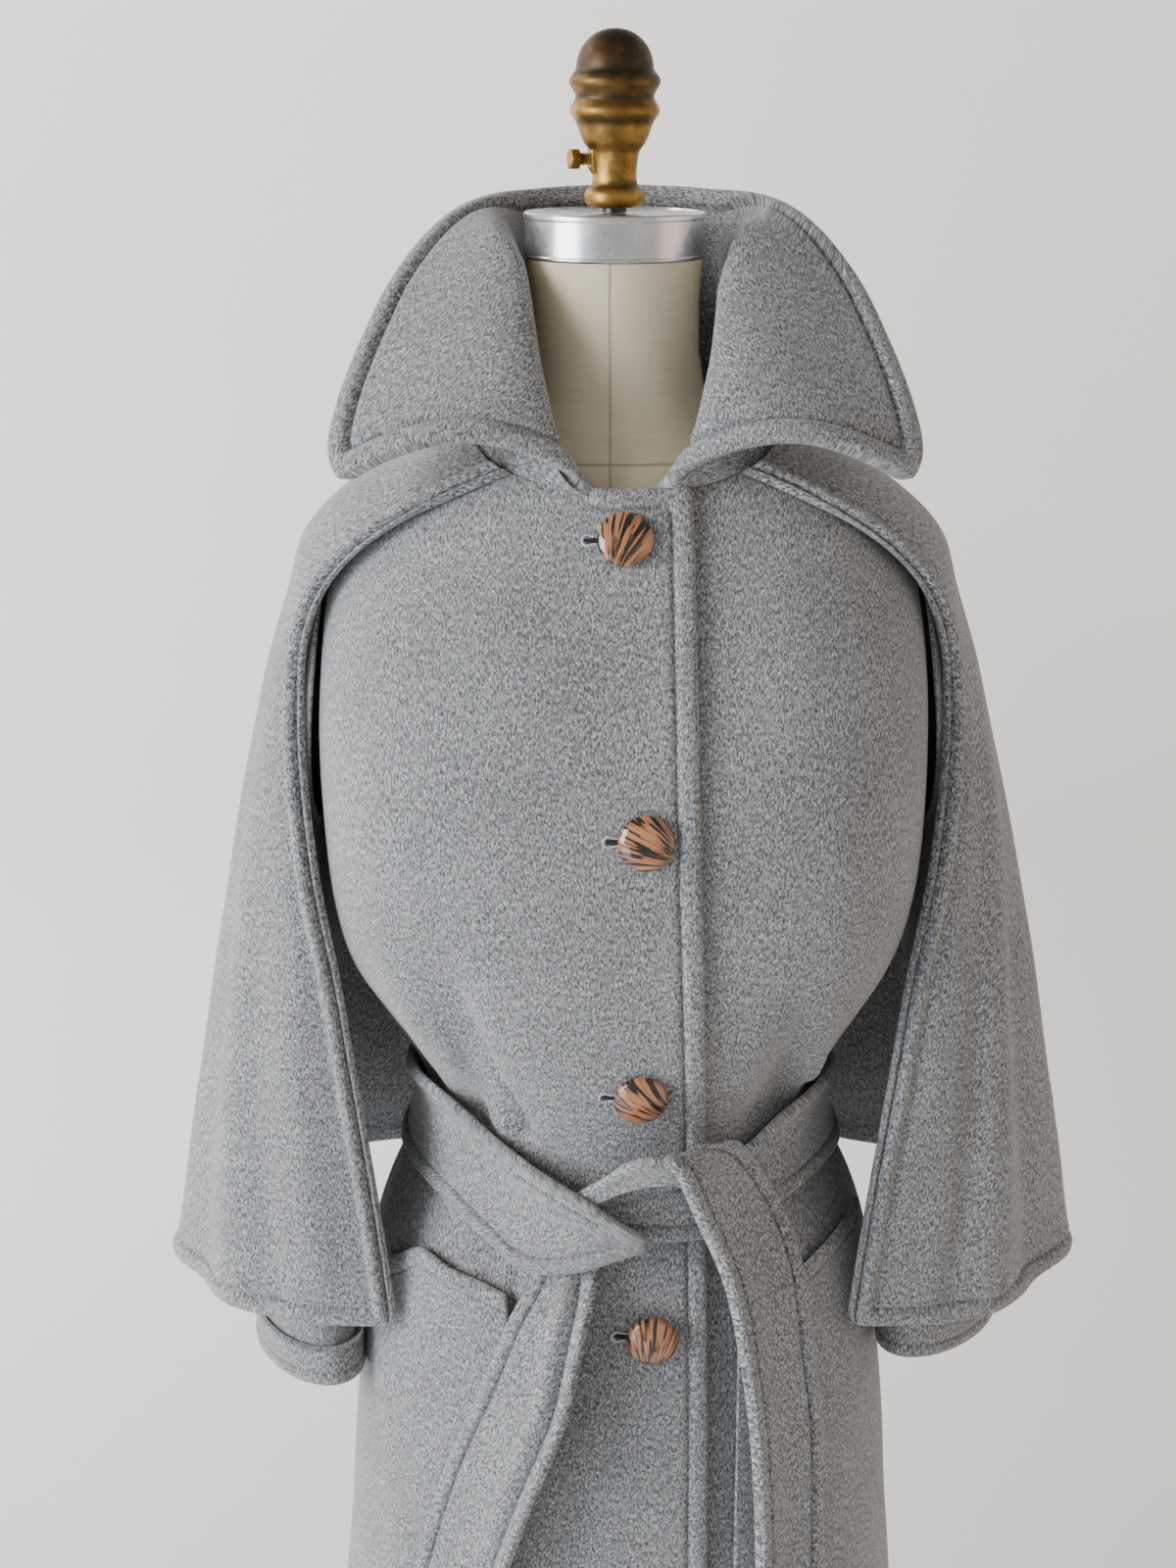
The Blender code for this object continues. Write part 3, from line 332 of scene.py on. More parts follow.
POCKET = Table("across top_right top_left bottom", [
    (0.070, 0.8975, 0.8950, 0.690),
    (0.086, 0.9010, 0.8985, 0.691),
    (0.104, 0.9050, 0.9030, 0.695),
    (0.123, 0.9080, 0.9090, 0.708),
    (0.138, 0.8960, 0.9120, 0.724),
    (0.151, 0.8830, 0.9110, 0.738),
])
POCKET_EDGES = (0.070, 0.151)

Button = namedtuple("Button", "height x droop turned")
BUTTONS = [
    Button(1.3640, -0.0005, 0, 20),
    Button(1.2000, 0.0115, 0, -65),
    Button(1.0385, 0.0095, 0, -50),
    Button(0.8765, 0.0175, 11, 5),
]

# Turned profiles, from the bottom up: height and radius
FINIAL_TOP = 1.6445
FINIAL = [
    (1.5437, 0.0112),
    (1.5446, 0.0148),
    (1.5462, 0.0170),
    (1.5482, 0.0178),
    (1.5502, 0.0179),
    (1.5524, 0.0174),
    (1.5542, 0.0162),
    (1.5556, 0.0146),
    (1.5572, 0.0136),
    (1.5600, 0.0131),
    (1.5640, 0.0131),
    (1.5690, 0.0135),
    (1.5730, 0.0140),
    (1.5758, 0.0148),
    (1.5782, 0.0164),
    (1.5808, 0.0184),
    (1.5847, 0.0201),
    (1.5889, 0.0216),
    (1.5926, 0.0230),
    (1.5948, 0.0246),
    (1.5968, 0.0260),
    (1.5987, 0.0265),
    (1.6008, 0.0260),
    (1.6028, 0.0247),
    (1.6048, 0.0235),
    (1.6066, 0.0231),
    (1.6084, 0.0235),
    (1.6106, 0.0248),
    (1.6128, 0.0262),
    (1.6148, 0.0267),
    (1.6170, 0.0263),
    (1.6192, 0.0248),
    (1.6206, 0.0235),
    (1.6218, 0.0228),
]
FINIAL_GROOVES = (1.6066, 1.6216, 1.5570, 1.5926)
DOME_FOOT, DOME_RADIUS = 1.6218, 0.0227
BOLT_HEIGHT = 1.5716
BOLT_RADIUS = 0.0037
BOLT_HEAD_RADIUS = 0.0064
BOLT_HEAD_LENGTH = 0.0056
BOLT_REACH = 0.0280
BOLT_FORWARD = math.radians(18)
BOLT_START = 0.0100       # inside the finial, from its middle
THREAD_PITCH = 0.0012
THREAD_ROOT = BOLT_RADIUS - 0.0006
BOSS_SIZE = (0.0158, 0.0100, 0.0210)


# Small tools


def link(name, data):
    """A new object in the scene."""
    made = bpy.data.objects.new(name, data)
    bpy.context.scene.collection.objects.link(made)
    return made


def deselect():
    bpy.ops.object.select_all(action="DESELECT")


def ease(low, high, value):
    """0 below low, 1 above high, and smooth between them."""
    t = np.clip((value - low) / (high - low), 0.0, 1.0)
    return t * t * (3 - 2 * t)


def points(x, y, z):
    return np.stack(np.broadcast_arrays(x, y, z), -1).astype(float)


def unit(vectors):
    return vectors / np.maximum(np.linalg.norm(vectors, axis=-1, keepdims=True), 1e-12)


def on_side(spot, side):
    """Takes places measured from the coat's middle to one side of it."""
    spot[..., 0] = COAT_X + side * spot[..., 0]
    return spot


# Surfaces of the coat


def section_radius(row, angle):
    depth = np.where(np.cos(angle) > 0, row.front, row.back)
    across = np.abs(np.sin(angle)) / row.half_width
    along = np.abs(np.cos(angle)) / depth
    return (across**row.square + along**row.square) ** (-1 / row.square)


def fold_depth(angle, z):
    depth = 0.0
    for fold in BODY_FOLDS:
        away = (np.degrees(angle) - fold.angle + 180) % 360 - 180
        run = (z - fold.fullest) / (fold.gone - fold.fullest)
        start = FOLD_START / abs(fold.gone - fold.fullest)
        fade = np.where(run > 0, 1 - ease(0.0, 1.0, run), 1 - ease(0.0, start, -run))
        near = np.abs(away) < 3 * fold.half_angle
        depth = depth + near * fold.depth * fade * np.exp(-((away / fold.half_angle) ** 2))
    return depth


def body_face(angle, z):
    radius = section_radius(BODY.at(z), angle) - fold_depth(angle, z)
    return points(COAT_X + radius * np.sin(angle), -radius * np.cos(angle), z)


def body_normal(angle, z):
    step = 0.002
    around = body_face(angle + step, z) - body_face(angle - step, z)
    up = body_face(angle, z + step) - body_face(angle, z - step)
    return unit(np.cross(around, up))


def body(angle, z, out=0.0):
    return body_face(angle, z) + body_normal(angle, z) * np.asarray(out)[..., None]


def front_angle(x, z):
    angle = 0.0
    for _ in range(8):
        radius = section_radius(BODY.at(z), angle)
        angle = np.arcsin(np.clip((x - COAT_X) / radius, -1, 1))
    return angle


def on_front(x, z, lift):
    row = BODY.at(z)
    share = np.minimum(np.abs(x - COAT_X) / row.half_width, 0.999)
    depth = row.front * (1 - share**row.square) ** (1 / row.square)
    return points(x, -depth - lift, z)


def neck_height(angle):
    return NECK_SEAM.at(np.abs((np.degrees(angle) + 180) % 360 - 180)).height


def side_angle(z, spread):
    seam = 0.5 * SEAM_GAP / section_radius(BODY.at(z), math.pi / 2)
    rise = (z - ARMHOLE_HEIGHT) / ARMHOLE_HALF_HEIGHT
    return math.pi / 2 - seam - spread * np.sqrt(np.maximum(1 - rise * rise, 0.0))


def side_seam(middle, way, spread):
    """The line of a side seam and its armhole, one way round from an angle."""
    return lambda z: middle + way * side_angle(z, spread)


def upper_edge(z):
    return front_angle(FRONT_EDGE.at(z).x + COAT_X, z)


def under_edge(z):
    return front_angle(UNDER_EDGE_X, z)


def under_step(angle, z):
    edge = upper_edge(z)
    return -LAP_STEP * (1 - ease(edge + math.radians(1), edge + math.radians(30), angle))


def no_step(angle, z):
    return 0.0 * angle


def panel(first_angle, last_angle, out=no_step):
    """A body panel between two angles, from the neck seam down to the hem."""
    top = float(neck_height(0.0))

    def face(u, v):
        level = top + (HEM_HEIGHT - top) * v
        angle = first_angle(level) + (last_angle(level) - first_angle(level)) * u
        share = (level - SHOULDER_ROW) / (top - SHOULDER_ROW)
        shoulder = SHOULDER_ROW + (neck_height(angle) - SHOULDER_ROW) * share
        height = np.where(level > SHOULDER_ROW, shoulder, level)
        return body(angle, height, out(angle, height))

    return face


def clear_of_body(point, gap):
    x, y, z = point[..., 0] - COAT_X, point[..., 1], point[..., 2]
    angle = np.arctan2(x, -y)
    own = np.hypot(x, y)
    normal = body_normal(angle, z)
    outward = normal[..., 0] * np.sin(angle) - normal[..., 1] * np.cos(angle)
    least = section_radius(BODY.at(z), angle) + gap / np.maximum(outward, 0.4)
    radius = 0.5 * (own + least + np.sqrt((own - least) ** 2 + CLEARING_BLEND**2))
    return points(COAT_X + radius * np.sin(angle), -radius * np.cos(angle), z)


def cape(side):
    """Half of the cape: u from the front edge to the centre back, v from the neck to the hem."""
    middle = 1 - 0.5 * SEAM_GAP / 0.088

    def face(u, v):
        around = u * middle
        row = CAPE.at(v)
        ahead = around / CAPE_SIDE * math.pi / 2
        behind = (around - CAPE_SIDE) / (1 - CAPE_SIDE) * math.pi / 2
        in_front = around < CAPE_SIDE
        widen = (row.side_x - row.edge_x) * np.sin(ahead)
        x = np.where(in_front, row.edge_x + widen, row.side_x * np.cos(behind))
        y = np.where(in_front, -row.edge_y * np.cos(ahead), row.back_y * np.sin(behind))
        edge_z = row.side_z + (row.edge_z - row.side_z) * np.cos(ahead) ** 2
        back_z = row.side_z + (row.back_z - row.side_z) * np.sin(behind) ** 2
        z = np.where(in_front, edge_z, back_z)
        grow = 0.0
        for fold in CAPE_FOLDS:
            hump = np.exp(-(((around - fold.around) / fold.half_width) ** 2))
            grow = grow + fold.depth * hump * ease(fold.start, 1.0, v)
        reach = np.hypot(x, y)
        spot = points(COAT_X + x * (1 + grow / reach), y * (1 + grow / reach), z)
        placed = clear_of_body(spot, CLOTH + 1.5 * LAID_GAP)
        placed[..., 0] = COAT_X + side * (placed[..., 0] - COAT_X)
        return placed

    return face


def collar_face(u, v):
    """The collar's face towards the neck: u from the right front end to the left one, v up."""
    along = 2 * u - 1
    side = np.where(along < 0, -1.0, 1.0)
    row = COLLAR.at(1 - np.abs(along))
    angle = np.radians(row.neck_angle)
    foot = body(angle, neck_height(angle) + COLLAR_RISE, -CLOTH)
    foot[..., 0] -= COAT_X
    roll = points(row.roll_x, -row.roll_y, row.roll_z)
    edge = points(row.edge_x, -row.edge_y, row.edge_z)
    s, up = ROLL_SHARE, np.asarray(v)[..., None]
    pull = (roll - foot * (1 - s) ** 2 - edge * s**2) / (2 * s * (1 - s))
    spot = foot * (1 - up) ** 2 + pull * 2 * up * (1 - up) + edge * up**2
    return on_side(spot, side)


def sleeve_table(name):
    end, first = CUFF[name], SLEEVE_ROWS[0]
    rows = []
    for height, x, y, radius_x, radius_y, _ in SLEEVE_ROWS:
        share = 1 - float(ease(first[0], SLEEVE_LED, height))
        led = (height + (end.height - first[0]) * share, x + (end.x - first[1]) * share)
        rows.append((*led, y, radius_x, radius_y, end.twist * share))
    return Table("height x y radius_x radius_y twist", rows)


def sleeve_ring(table, z, turn, grow=0.0):
    row = table.at(z)
    outward = (row.radius_x + grow) * np.sin(turn)
    forward = (row.radius_y + grow) * np.cos(turn)
    return points(
        row.x + outward * np.cos(row.twist) - forward * np.sin(row.twist),
        row.y - outward * np.sin(row.twist) - forward * np.cos(row.twist),
        z,
    )


def sleeve_head(table, turn, share):
    """The bend from the armhole, which faces sideways, into the hanging tube."""
    spread = np.where(np.cos(turn) > 0, ARMHOLE_FRONT, ARMHOLE_BACK)
    height = ARMHOLE_HEIGHT + (ARMHOLE_HALF_HEIGHT + 0.002) * np.sin(turn)
    angle = math.pi / 2 - (spread + 0.02) * np.cos(turn)
    start = body(angle, height, CLOTH + LAID_GAP)
    start[..., 0] -= COAT_X
    end = sleeve_ring(table, SLEEVE_TOP, turn)
    reach = np.linalg.norm(end - start, axis=-1)
    bulge = np.minimum(0.5 * reach, HEAD_BULGE)
    t = share[..., None]
    return (
        start * (2 * t**3 - 3 * t**2 + 1)
        + end * (3 * t**2 - 2 * t**3)
        + points(bulge, 0, 0) * (t**3 - 2 * t**2 + t)
        + points(0, 0, -0.95 * reach) * (t**3 - t**2)
    )


def sleeve(name, side):
    """u round the tube from its front, v from the armhole to the end."""
    table = sleeve_table(name)
    head = SLEEVE_HEAD_SHARE

    def face(u, v):
        turn = 2 * math.pi * u
        in_head = sleeve_head(table, turn, np.clip(v / head, 0, 1))
        low = CUFF[name].height
        z = SLEEVE_TOP + (low - SLEEVE_TOP) * np.clip((v - head) / (1 - head), 0, 1)
        tube = sleeve_ring(table, z, turn)
        return on_side(np.where((v < head)[..., None], in_head, tube), side)

    return face


def cuff(name, side):
    table = sleeve_table(name)

    def face(u, v):
        z = CUFF[name].height + CUFF_WIDTH + (SEAM_GAP - CUFF_WIDTH) * v
        return on_side(sleeve_ring(table, z, 2 * math.pi * u, CUFF_GAP + CLOTH), side)

    return face


def belt_face(u, v):
    turn = BELT_START + (BELT_STOP - BELT_START) * u
    row = BELT_LOOP.at(turn)
    angle = np.radians(turn)
    z = row.high + (row.low - row.high) * v
    middle = section_radius(BODY.at(0.5 * (row.low + row.high)), angle)
    reach = np.maximum(section_radius(BODY.at(z), angle), middle) + row.lift
    return points(COAT_X + reach * np.sin(angle), -reach * np.cos(angle), z)


def strip(table):
    """A belt end: u from its right edge to its left edge, v along it."""

    def face(u, v):
        row = table.at(v)
        right = on_front(row.right_x + COAT_X, row.right_z, row.right_lift)
        left = on_front(row.left_x + COAT_X, row.left_z, row.left_lift)
        return right + (left - right) * np.asarray(u)[..., None]

    return face


def pocket(side):
    def face(u, v):
        row = POCKET.at(POCKET_EDGES[0] + (POCKET_EDGES[1] - POCKET_EDGES[0]) * u)
        top = row.top_left if side > 0 else row.top_right
        z = top + (row.bottom - top) * v
        angle = side * front_angle(COAT_X + row.across, z)
        return body(angle, z, LAID_GAP + CLOTH)

    return face


# Cloth with sewn edges

# How a stitched edge is finished: the width of its band, its thickness, how far the band
# puffs out, and whether it is a roll with the lip of an under layer beyond it
Edge = namedtuple("Edge", "band thick puff rolled", defaults=(0.0, False))
SEWN = Edge(0.0, 0.0)
PLAIN = Edge(0.0, CLOTH)
# Height of the cloth across a band, from the edge inwards, as shares of its width and puff
FLAT_BAND = Table("share rise", [
    (0.00, 0.00),
    (0.08, 0.50),
    (0.22, 0.88),
    (0.50, 1.00),
    (0.76, 0.84),
    (0.90, 0.30),
    (1.00, -0.42),
    (1.10, -0.05),
    (1.30, 0.22),
    (1.60, 0.08),
    (2.00, 0.00),
])
ROLLED_BAND = Table("share rise", [
    (0.00, 0.00),
    (0.07, 0.34),
    (0.17, 0.52),
    (0.26, 0.36),
    (0.33, -0.06),
    (0.40, 0.36),
    (0.52, 0.82),
    (0.68, 1.00),
    (0.86, 0.86),
    (0.97, 0.34),
    (1.05, -0.06),
    (1.20, -0.12),
    (1.60, 0.00),
])
LIP = 0.33                # where the rolled band's stitches are, as a share of its width
# Places of grid lines next to a stitched edge, as shares of the band's width
BAND_LINES = [0, 0.02, 0.05, 0.1, 0.16, 0.22, 0.27, 0.3, 0.33, 0.36, 0.4, 0.47, 0.56, 0.66]
BAND_LINES += [0.76, 0.85, 0.92, 0.96, 1.0, 1.04, 1.09, 1.17, 1.3, 1.55]
SEAM_LINES = [0, 0.0003, 0.0007, 0.0013, 0.0024]
# A soft ridge or trough through three places on a surface, with its height at each
Crease = namedtuple("Crease", "start middle end half_width rises")


def edge_lines(edge):
    return np.array([line * edge.band for line in BAND_LINES] if edge.band else SEAM_LINES)


def spread(length, first, last, count):
    """Distances along curves of these lengths: close lines at both ends and even ones between."""
    columns = []
    for total in length:
        near = first * min(1.0, 0.44 * total / first[-1])
        far = last * min(1.0, 0.44 * total / last[-1])
        even = np.linspace(near[-1], total - far[-1], count + 1)
        columns.append(np.concatenate([near[:-1], even, total - far[::-1][1:]]))
    return np.array(columns).T


def along(grid):
    """Distance along each column of a grid of points, from its first row."""
    lengths = np.linalg.norm(np.diff(grid, axis=0), axis=-1)
    return np.concatenate([np.zeros((1, grid.shape[1])), np.cumsum(lengths, axis=0)])


def read_off(values, lengths, targets):
    return np.stack(
        [np.interp(t, l, v) for t, l, v in zip(targets.T, lengths.T, values.T)], axis=1
    )


def lay_out(face, edges, columns, rows, closed):
    """The grid of a piece, and each point's distance from its four edges."""
    fine_u, fine_v = np.linspace(0, 1, 181), np.linspace(0, 1, 301)
    v, u = np.meshgrid(fine_v, fine_u, indexing="ij")
    lengths = along(face(u, v))
    down = spread(lengths[-1], edge_lines(edges["top"]), edge_lines(edges["bottom"]), rows)
    v = read_off(v, lengths, down)
    u = np.broadcast_to(fine_u, v.shape)
    left = down[-1] - down
    across_lengths = along(face(u, v).transpose(1, 0, 2))
    if closed:
        over = np.linspace(0, 1, columns + 1)[:, None] * across_lengths[-1]
    else:
        sides = edge_lines(edges["start"]), edge_lines(edges["end"])
        over = spread(across_lengths[-1], *sides, columns)
    u, v, top, bottom = [read_off(a.T, across_lengths, over).T for a in (u, v, down, left)]
    start = over.T
    distance = {"top": top, "bottom": bottom, "start": start, "end": over[-1][:, None] - start}
    return face(u, v), distance


def grid_normals(grid, turn, closed):
    if closed:
        wrapped = np.concatenate([grid[:, -2:-1], grid, grid[:, 1:2]], axis=1)
        over = wrapped[:, 2:] - wrapped[:, :-2]
    else:
        over = np.gradient(grid, axis=1)
    down = np.gradient(grid, axis=0)
    return unit(np.cross(over, down)) * turn


def round_corner(grid, first, second, first_way, second_way, radius):
    """Pulls a square corner in to a round one; first and second are distances to its edges."""
    a = np.clip(radius - first, 0, radius) / radius
    b = np.clip(radius - second, 0, radius) / radius
    pull_first = a * (1 - np.sqrt(1 - b * b / 2)) * radius
    pull_second = b * (1 - np.sqrt(1 - a * a / 2)) * radius
    return grid + first_way * pull_first[..., None] + second_way * pull_second[..., None]


def crease_rise(grid, face, crease):
    share = np.linspace(0, 1, 21)
    places = np.array([crease.start, crease.middle, crease.end])
    path = face(*(np.interp(share, (0, 0.5, 1), places[:, k]) for k in range(2)))
    heights = np.interp(share, (0, 0.5, 1), crease.rises)
    best, rise = np.full(grid.shape[:2], np.inf), np.zeros(grid.shape[:2])
    for a, b, low, high in zip(path[:-1], path[1:], heights[:-1], heights[1:]):
        part = np.clip(((grid - a) @ (b - a)) / ((b - a) @ (b - a)), 0, 1)
        away = np.linalg.norm(grid - a - part[..., None] * (b - a), axis=-1)
        rise = np.where(away < best, low + (high - low) * part, rise)
        best = np.minimum(best, away)
    return rise * np.exp(-((best / crease.half_width) ** 2))


def ripple(grid, size):
    """Slight uneven drape all over a piece."""
    x, y, z = grid[..., 0], grid[..., 1], grid[..., 2]
    wave = np.sin(31 * x + 9 * z + 2 * y) + 0.7 * np.sin(17 * z - 23 * x + 41 * y + 1.3)
    return size * (wave + 0.5 * np.sin(57 * z + 13 * x - 29 * y + 0.4))


def band_relief(edges, distance, free, top_stretch):
    """How far the stitched bands stand out, and where their stitches pull the cloth in, as the mask
    for painted shade in that groove.
    """
    shape = distance["top"].shape
    total, relief, stitch = np.zeros(shape), np.zeros(shape), np.zeros(shape)
    shares = {}
    for side in free:
        if edges[side].band:
            weight = np.maximum(distance[side] / edges[side].band, 1e-3) ** -9
            if side == "top" and top_stretch:
                half = 0.003
                inside = ease(top_stretch - half, top_stretch + half, distance["start"])
                weight = weight * (1 - inside)
            shares[side] = weight
            total = total + weight
    if not shares:
        return relief, stitch
    share = np.maximum(total, 1e-9) ** (-1 / 9)
    for side, weight in shares.items():
        part = weight / np.maximum(total, 1e-9)
        table = ROLLED_BAND if edges[side].rolled else FLAT_BAND
        row = LIP if edges[side].rolled else 1.0
        line = STITCH_HALF_WIDTH / edges[side].band
        relief = relief + part * table.at(share).rise * edges[side].puff
        stitch = stitch + part * np.exp(-(((share - row) / line) ** 2))
    return relief * (share < 2.0), stitch


# Places on the cloth are shares across it and down it, read from the photograph in front
FRONT_RIGHT_CREASES = [
    Crease((0.480, 0.262), (0.463, 0.325), (0.424, 0.368), 0.0075, (-0.001, -0.008, -0.011)),
    Crease((0.550, 0.272), (0.560, 0.332), (0.486, 0.366), 0.0130, (0.002, 0.006, 0.010)),
    Crease((0.603, 0.238), (0.600, 0.302), (0.620, 0.335), 0.0140, (0.001, 0.003, 0.002)),
    Crease((0.745, 0.160), (0.532, 0.228), (0.492, 0.262), 0.0200, (0.0, 0.0025, 0.0)),
    Crease((0.440, 0.440), (0.430, 0.460), (0.415, 0.484), 0.0030, (-0.004, -0.006, -0.001)),
    Crease((0.300, 0.500), (0.270, 0.650), (0.300, 0.900), 0.0160, (0.0, -0.003, -0.004)),
    Crease((0.640, 0.420), (0.660, 0.600), (0.640, 0.950), 0.0180, (0.0, 0.003, 0.004)),
]
FRONT_LEFT_CREASES = [
    Crease((0.490, 0.295), (0.540, 0.340), (0.600, 0.364), 0.0090, (-0.001, -0.006, -0.008)),
    Crease((0.508, 0.270), (0.580, 0.315), (0.640, 0.345), 0.0100, (0.001, 0.004, 0.006)),
    Crease((0.620, 0.318), (0.660, 0.345), (0.700, 0.365), 0.0040, (-0.001, -0.004, -0.004)),
    Crease((0.682, 0.150), (0.532, 0.235), (0.560, 0.290), 0.0180, (0.0, 0.0025, 0.001)),
    Crease((0.748, 0.620), (0.820, 0.662), (0.888, 0.700), 0.0017, (-0.0012, -0.0014, -0.001)),
    Crease((0.450, 0.500), (0.470, 0.680), (0.450, 0.940), 0.0170, (0.0, -0.003, -0.004)),
]
BACK_CREASES = [
    Crease((0.300, 0.400), (0.280, 0.600), (0.270, 0.940), 0.0150, (0.001, -0.004, -0.006)),
    Crease((0.500, 0.390), (0.515, 0.600), (0.500, 0.940), 0.0160, (0.001, 0.004, 0.005)),
    Crease((0.690, 0.400), (0.720, 0.620), (0.740, 0.940), 0.0150, (0.001, -0.004, -0.005)),
    Crease((0.400, 0.300), (0.390, 0.330), (0.400, 0.360), 0.0090, (0.0, 0.004, 0.003)),
    Crease((0.620, 0.290), (0.610, 0.330), (0.600, 0.365), 0.0100, (0.0, 0.003, 0.004)),
]
CAPE_CREASES = {
    "right": [
        Crease((0.250, 0.400), (0.247, 0.670), (0.205, 0.975), 0.0180, (0.0, 0.004, 0.006)),
        Crease((0.165, 0.450), (0.155, 0.700), (0.130, 0.975), 0.0150, (0.0, -0.003, -0.005)),
        Crease((0.070, 0.500), (0.085, 0.750), (0.072, 0.950), 0.0120, (0.0, 0.002, 0.003)),
        Crease((0.400, 0.350), (0.430, 0.650), (0.450, 0.975), 0.0200, (0.0, -0.003, -0.004)),
        Crease((0.620, 0.350), (0.660, 0.650), (0.700, 0.975), 0.0180, (0.0, -0.004, -0.006)),
        Crease((0.800, 0.300), (0.815, 0.600), (0.835, 0.975), 0.0200, (0.0, 0.004, 0.006)),
    ],
    "left": [
        Crease((0.245, 0.260), (0.158, 0.557), (0.108, 0.970), 0.0110, (0.0, -0.004, -0.006)),
        Crease((0.310, 0.330), (0.215, 0.600), (0.170, 0.970), 0.0150, (0.001, 0.004, 0.006)),
        Crease((0.350, 0.430), (0.300, 0.700), (0.265, 0.975), 0.0140, (0.0, -0.003, -0.005)),
        Crease((0.060, 0.560), (0.056, 0.750), (0.050, 0.880), 0.0110, (0.0, 0.002, 0.0)),
        Crease((0.440, 0.400), (0.420, 0.650), (0.400, 0.975), 0.0180, (0.0, 0.003, 0.004)),
        Crease((0.600, 0.340), (0.640, 0.650), (0.660, 0.975), 0.0190, (0.0, -0.004, -0.005)),
        Crease((0.780, 0.330), (0.800, 0.600), (0.790, 0.975), 0.0180, (0.0, 0.003, 0.005)),
    ],
}
SLEEVE_CREASES = [
    Crease((0.200, 0.420), (0.240, 0.500), (0.300, 0.560), 0.0090, (0.0, -0.003, 0.0)),
    Crease((0.150, 0.600), (0.210, 0.640), (0.290, 0.640), 0.0080, (0.0, 0.003, 0.0)),
    Crease((0.700, 0.500), (0.760, 0.560), (0.820, 0.600), 0.0090, (0.0, -0.003, 0.0)),
]
COLLAR_CREASES = [
    Crease((0.273, 0.800), (0.236, 0.695), (0.215, 0.600), 0.0070, (0.0, 0.0026, 0.001)),
    Crease((0.292, 0.700), (0.262, 0.610), (0.240, 0.520), 0.0080, (0.0, -0.0026, -0.001)),
    Crease((0.860, 0.300), (0.800, 0.420), (0.770, 0.560), 0.0120, (0.0, 0.0018, 0.0)),
    Crease((0.090, 0.450), (0.110, 0.620), (0.090, 0.800), 0.0180, (0.0, 0.0016, 0.0)),
    Crease((0.915, 0.450), (0.900, 0.640), (0.920, 0.800), 0.0180, (0.0, 0.0020, 0.0)),
]
BELT_CREASES = [
    Crease((0.800, 0.300), (0.890, 0.480), (0.940, 0.620), 0.0060, (0.0, 0.0016, 0.0)),
    Crease((0.160, 0.250), (0.120, 0.420), (0.080, 0.500), 0.0070, (0.0, -0.0020, -0.001)),
    Crease((0.420, 0.300), (0.500, 0.500), (0.580, 0.600), 0.0080, (0.0, 0.0015, 0.0)),
]
RIGHT_END_CREASES = [
    Crease((0.560, 0.030), (0.700, 0.300), (0.700, 0.900), 0.0060, (0.002, 0.003, 0.0)),
    Crease((0.760, 0.060), (0.840, 0.300), (0.840, 0.800), 0.0045, (-0.003, -0.0035, 0.0)),
]
LEFT_END_CREASES = [
    Crease((0.420, 0.100), (0.480, 0.350), (0.500, 0.900), 0.0120, (0.0, -0.0022, -0.001)),
]
POCKET_CREASES = [
    Crease((0.200, 0.010), (0.500, 0.012), (0.850, 0.010), 0.0120, (0.002, 0.0035, 0.002)),
]
SIDES = {"right": -1, "left": 1}
LOW_CORNERS = [("bottom", "start"), ("bottom", "end")]
Cut = namedtuple("Cut", "width length area")


def cloth(
    name, face, turn, edges, columns, rows, thickness=CLOTH, closed=False, creases=(),
    drape=0.0004, corners=(), corner_radius=0.007, top_stretch=None, foot=None, across=False,
):
    """A piece of cloth on a surface, with its edges finished.

    turn says which way it faces, and across lays its nap from side to side.
    """
    grid, distance = lay_out(face, edges, columns, rows, closed)
    free = [s for s in distance if not (closed and s in ("start", "end"))]
    cut = cut_of(grid, distance)
    normals = grid_normals(grid, turn, closed)
    hang = ripple(grid, drape)
    for crease in creases:
        hang = hang + crease_rise(grid, face, crease)
    grid = grid + normals * hang[..., None]
    normals = grid_normals(grid, turn, closed)
    down_way = unit(np.gradient(grid, axis=0))
    over_way = unit(np.gradient(grid, axis=1))
    ways = {"top": down_way, "bottom": -down_way, "start": over_way, "end": -over_way}
    relief, stitch = band_relief(edges, distance, free, top_stretch)
    thick = np.full(grid.shape[:2], thickness)
    if foot:
        thick = foot + (thickness - foot) * ease(0.002, 0.020, distance["top"])
    fullness = np.ones(grid.shape[:2])
    for side in free:
        edge = edges[side]
        if edge.band:
            swell = np.exp(-((distance[side] / (1.1 * edge.band)) ** 4))
            thick = np.maximum(thick, thickness + (edge.thick - thickness) * swell)
        rim = max(0.5 * edge.thick, SEAM_RIM)
        share = np.clip(distance[side] / rim, 0, 1)
        fullness = fullness * np.sqrt(np.maximum(1 - (1 - share) ** 2, 0))
    for first, second in corners:
        grid = round_corner(
            grid, distance[first], distance[second], ways[first], ways[second], corner_radius
        )
    middle = 0.5 * thick
    outer = grid + normals * (relief - middle * (1 - fullness))[..., None]
    inner = grid - normals * (middle * (1 + fullness) - relief * (1 - fullness))[..., None]
    near_side = np.minimum(distance["start"], distance["end"]) < np.minimum(
        distance["top"], distance["bottom"]
    )
    laid = (distance["top"], distance["start"]) if across else (distance["start"], distance["top"])
    run = np.where(near_side, distance["top"], distance["start"])
    return wall_mesh(name, outer, inner, turn, closed, laid, stitch, run), cut


def cut_of(grid, distance):
    """The flat size of a laid-out piece, and its area where the cut isn't a rectangle."""
    a, b = grid[1:, 1:] - grid[:-1, :-1], grid[1:, :-1] - grid[:-1, 1:]
    area = 0.5 * np.linalg.norm(np.cross(a, b), axis=-1).sum()
    width = float((distance["start"] + distance["end"]).max())
    length = float((distance["top"] + distance["bottom"]).max())
    return Cut(width, length, float(min(area, width * length)))


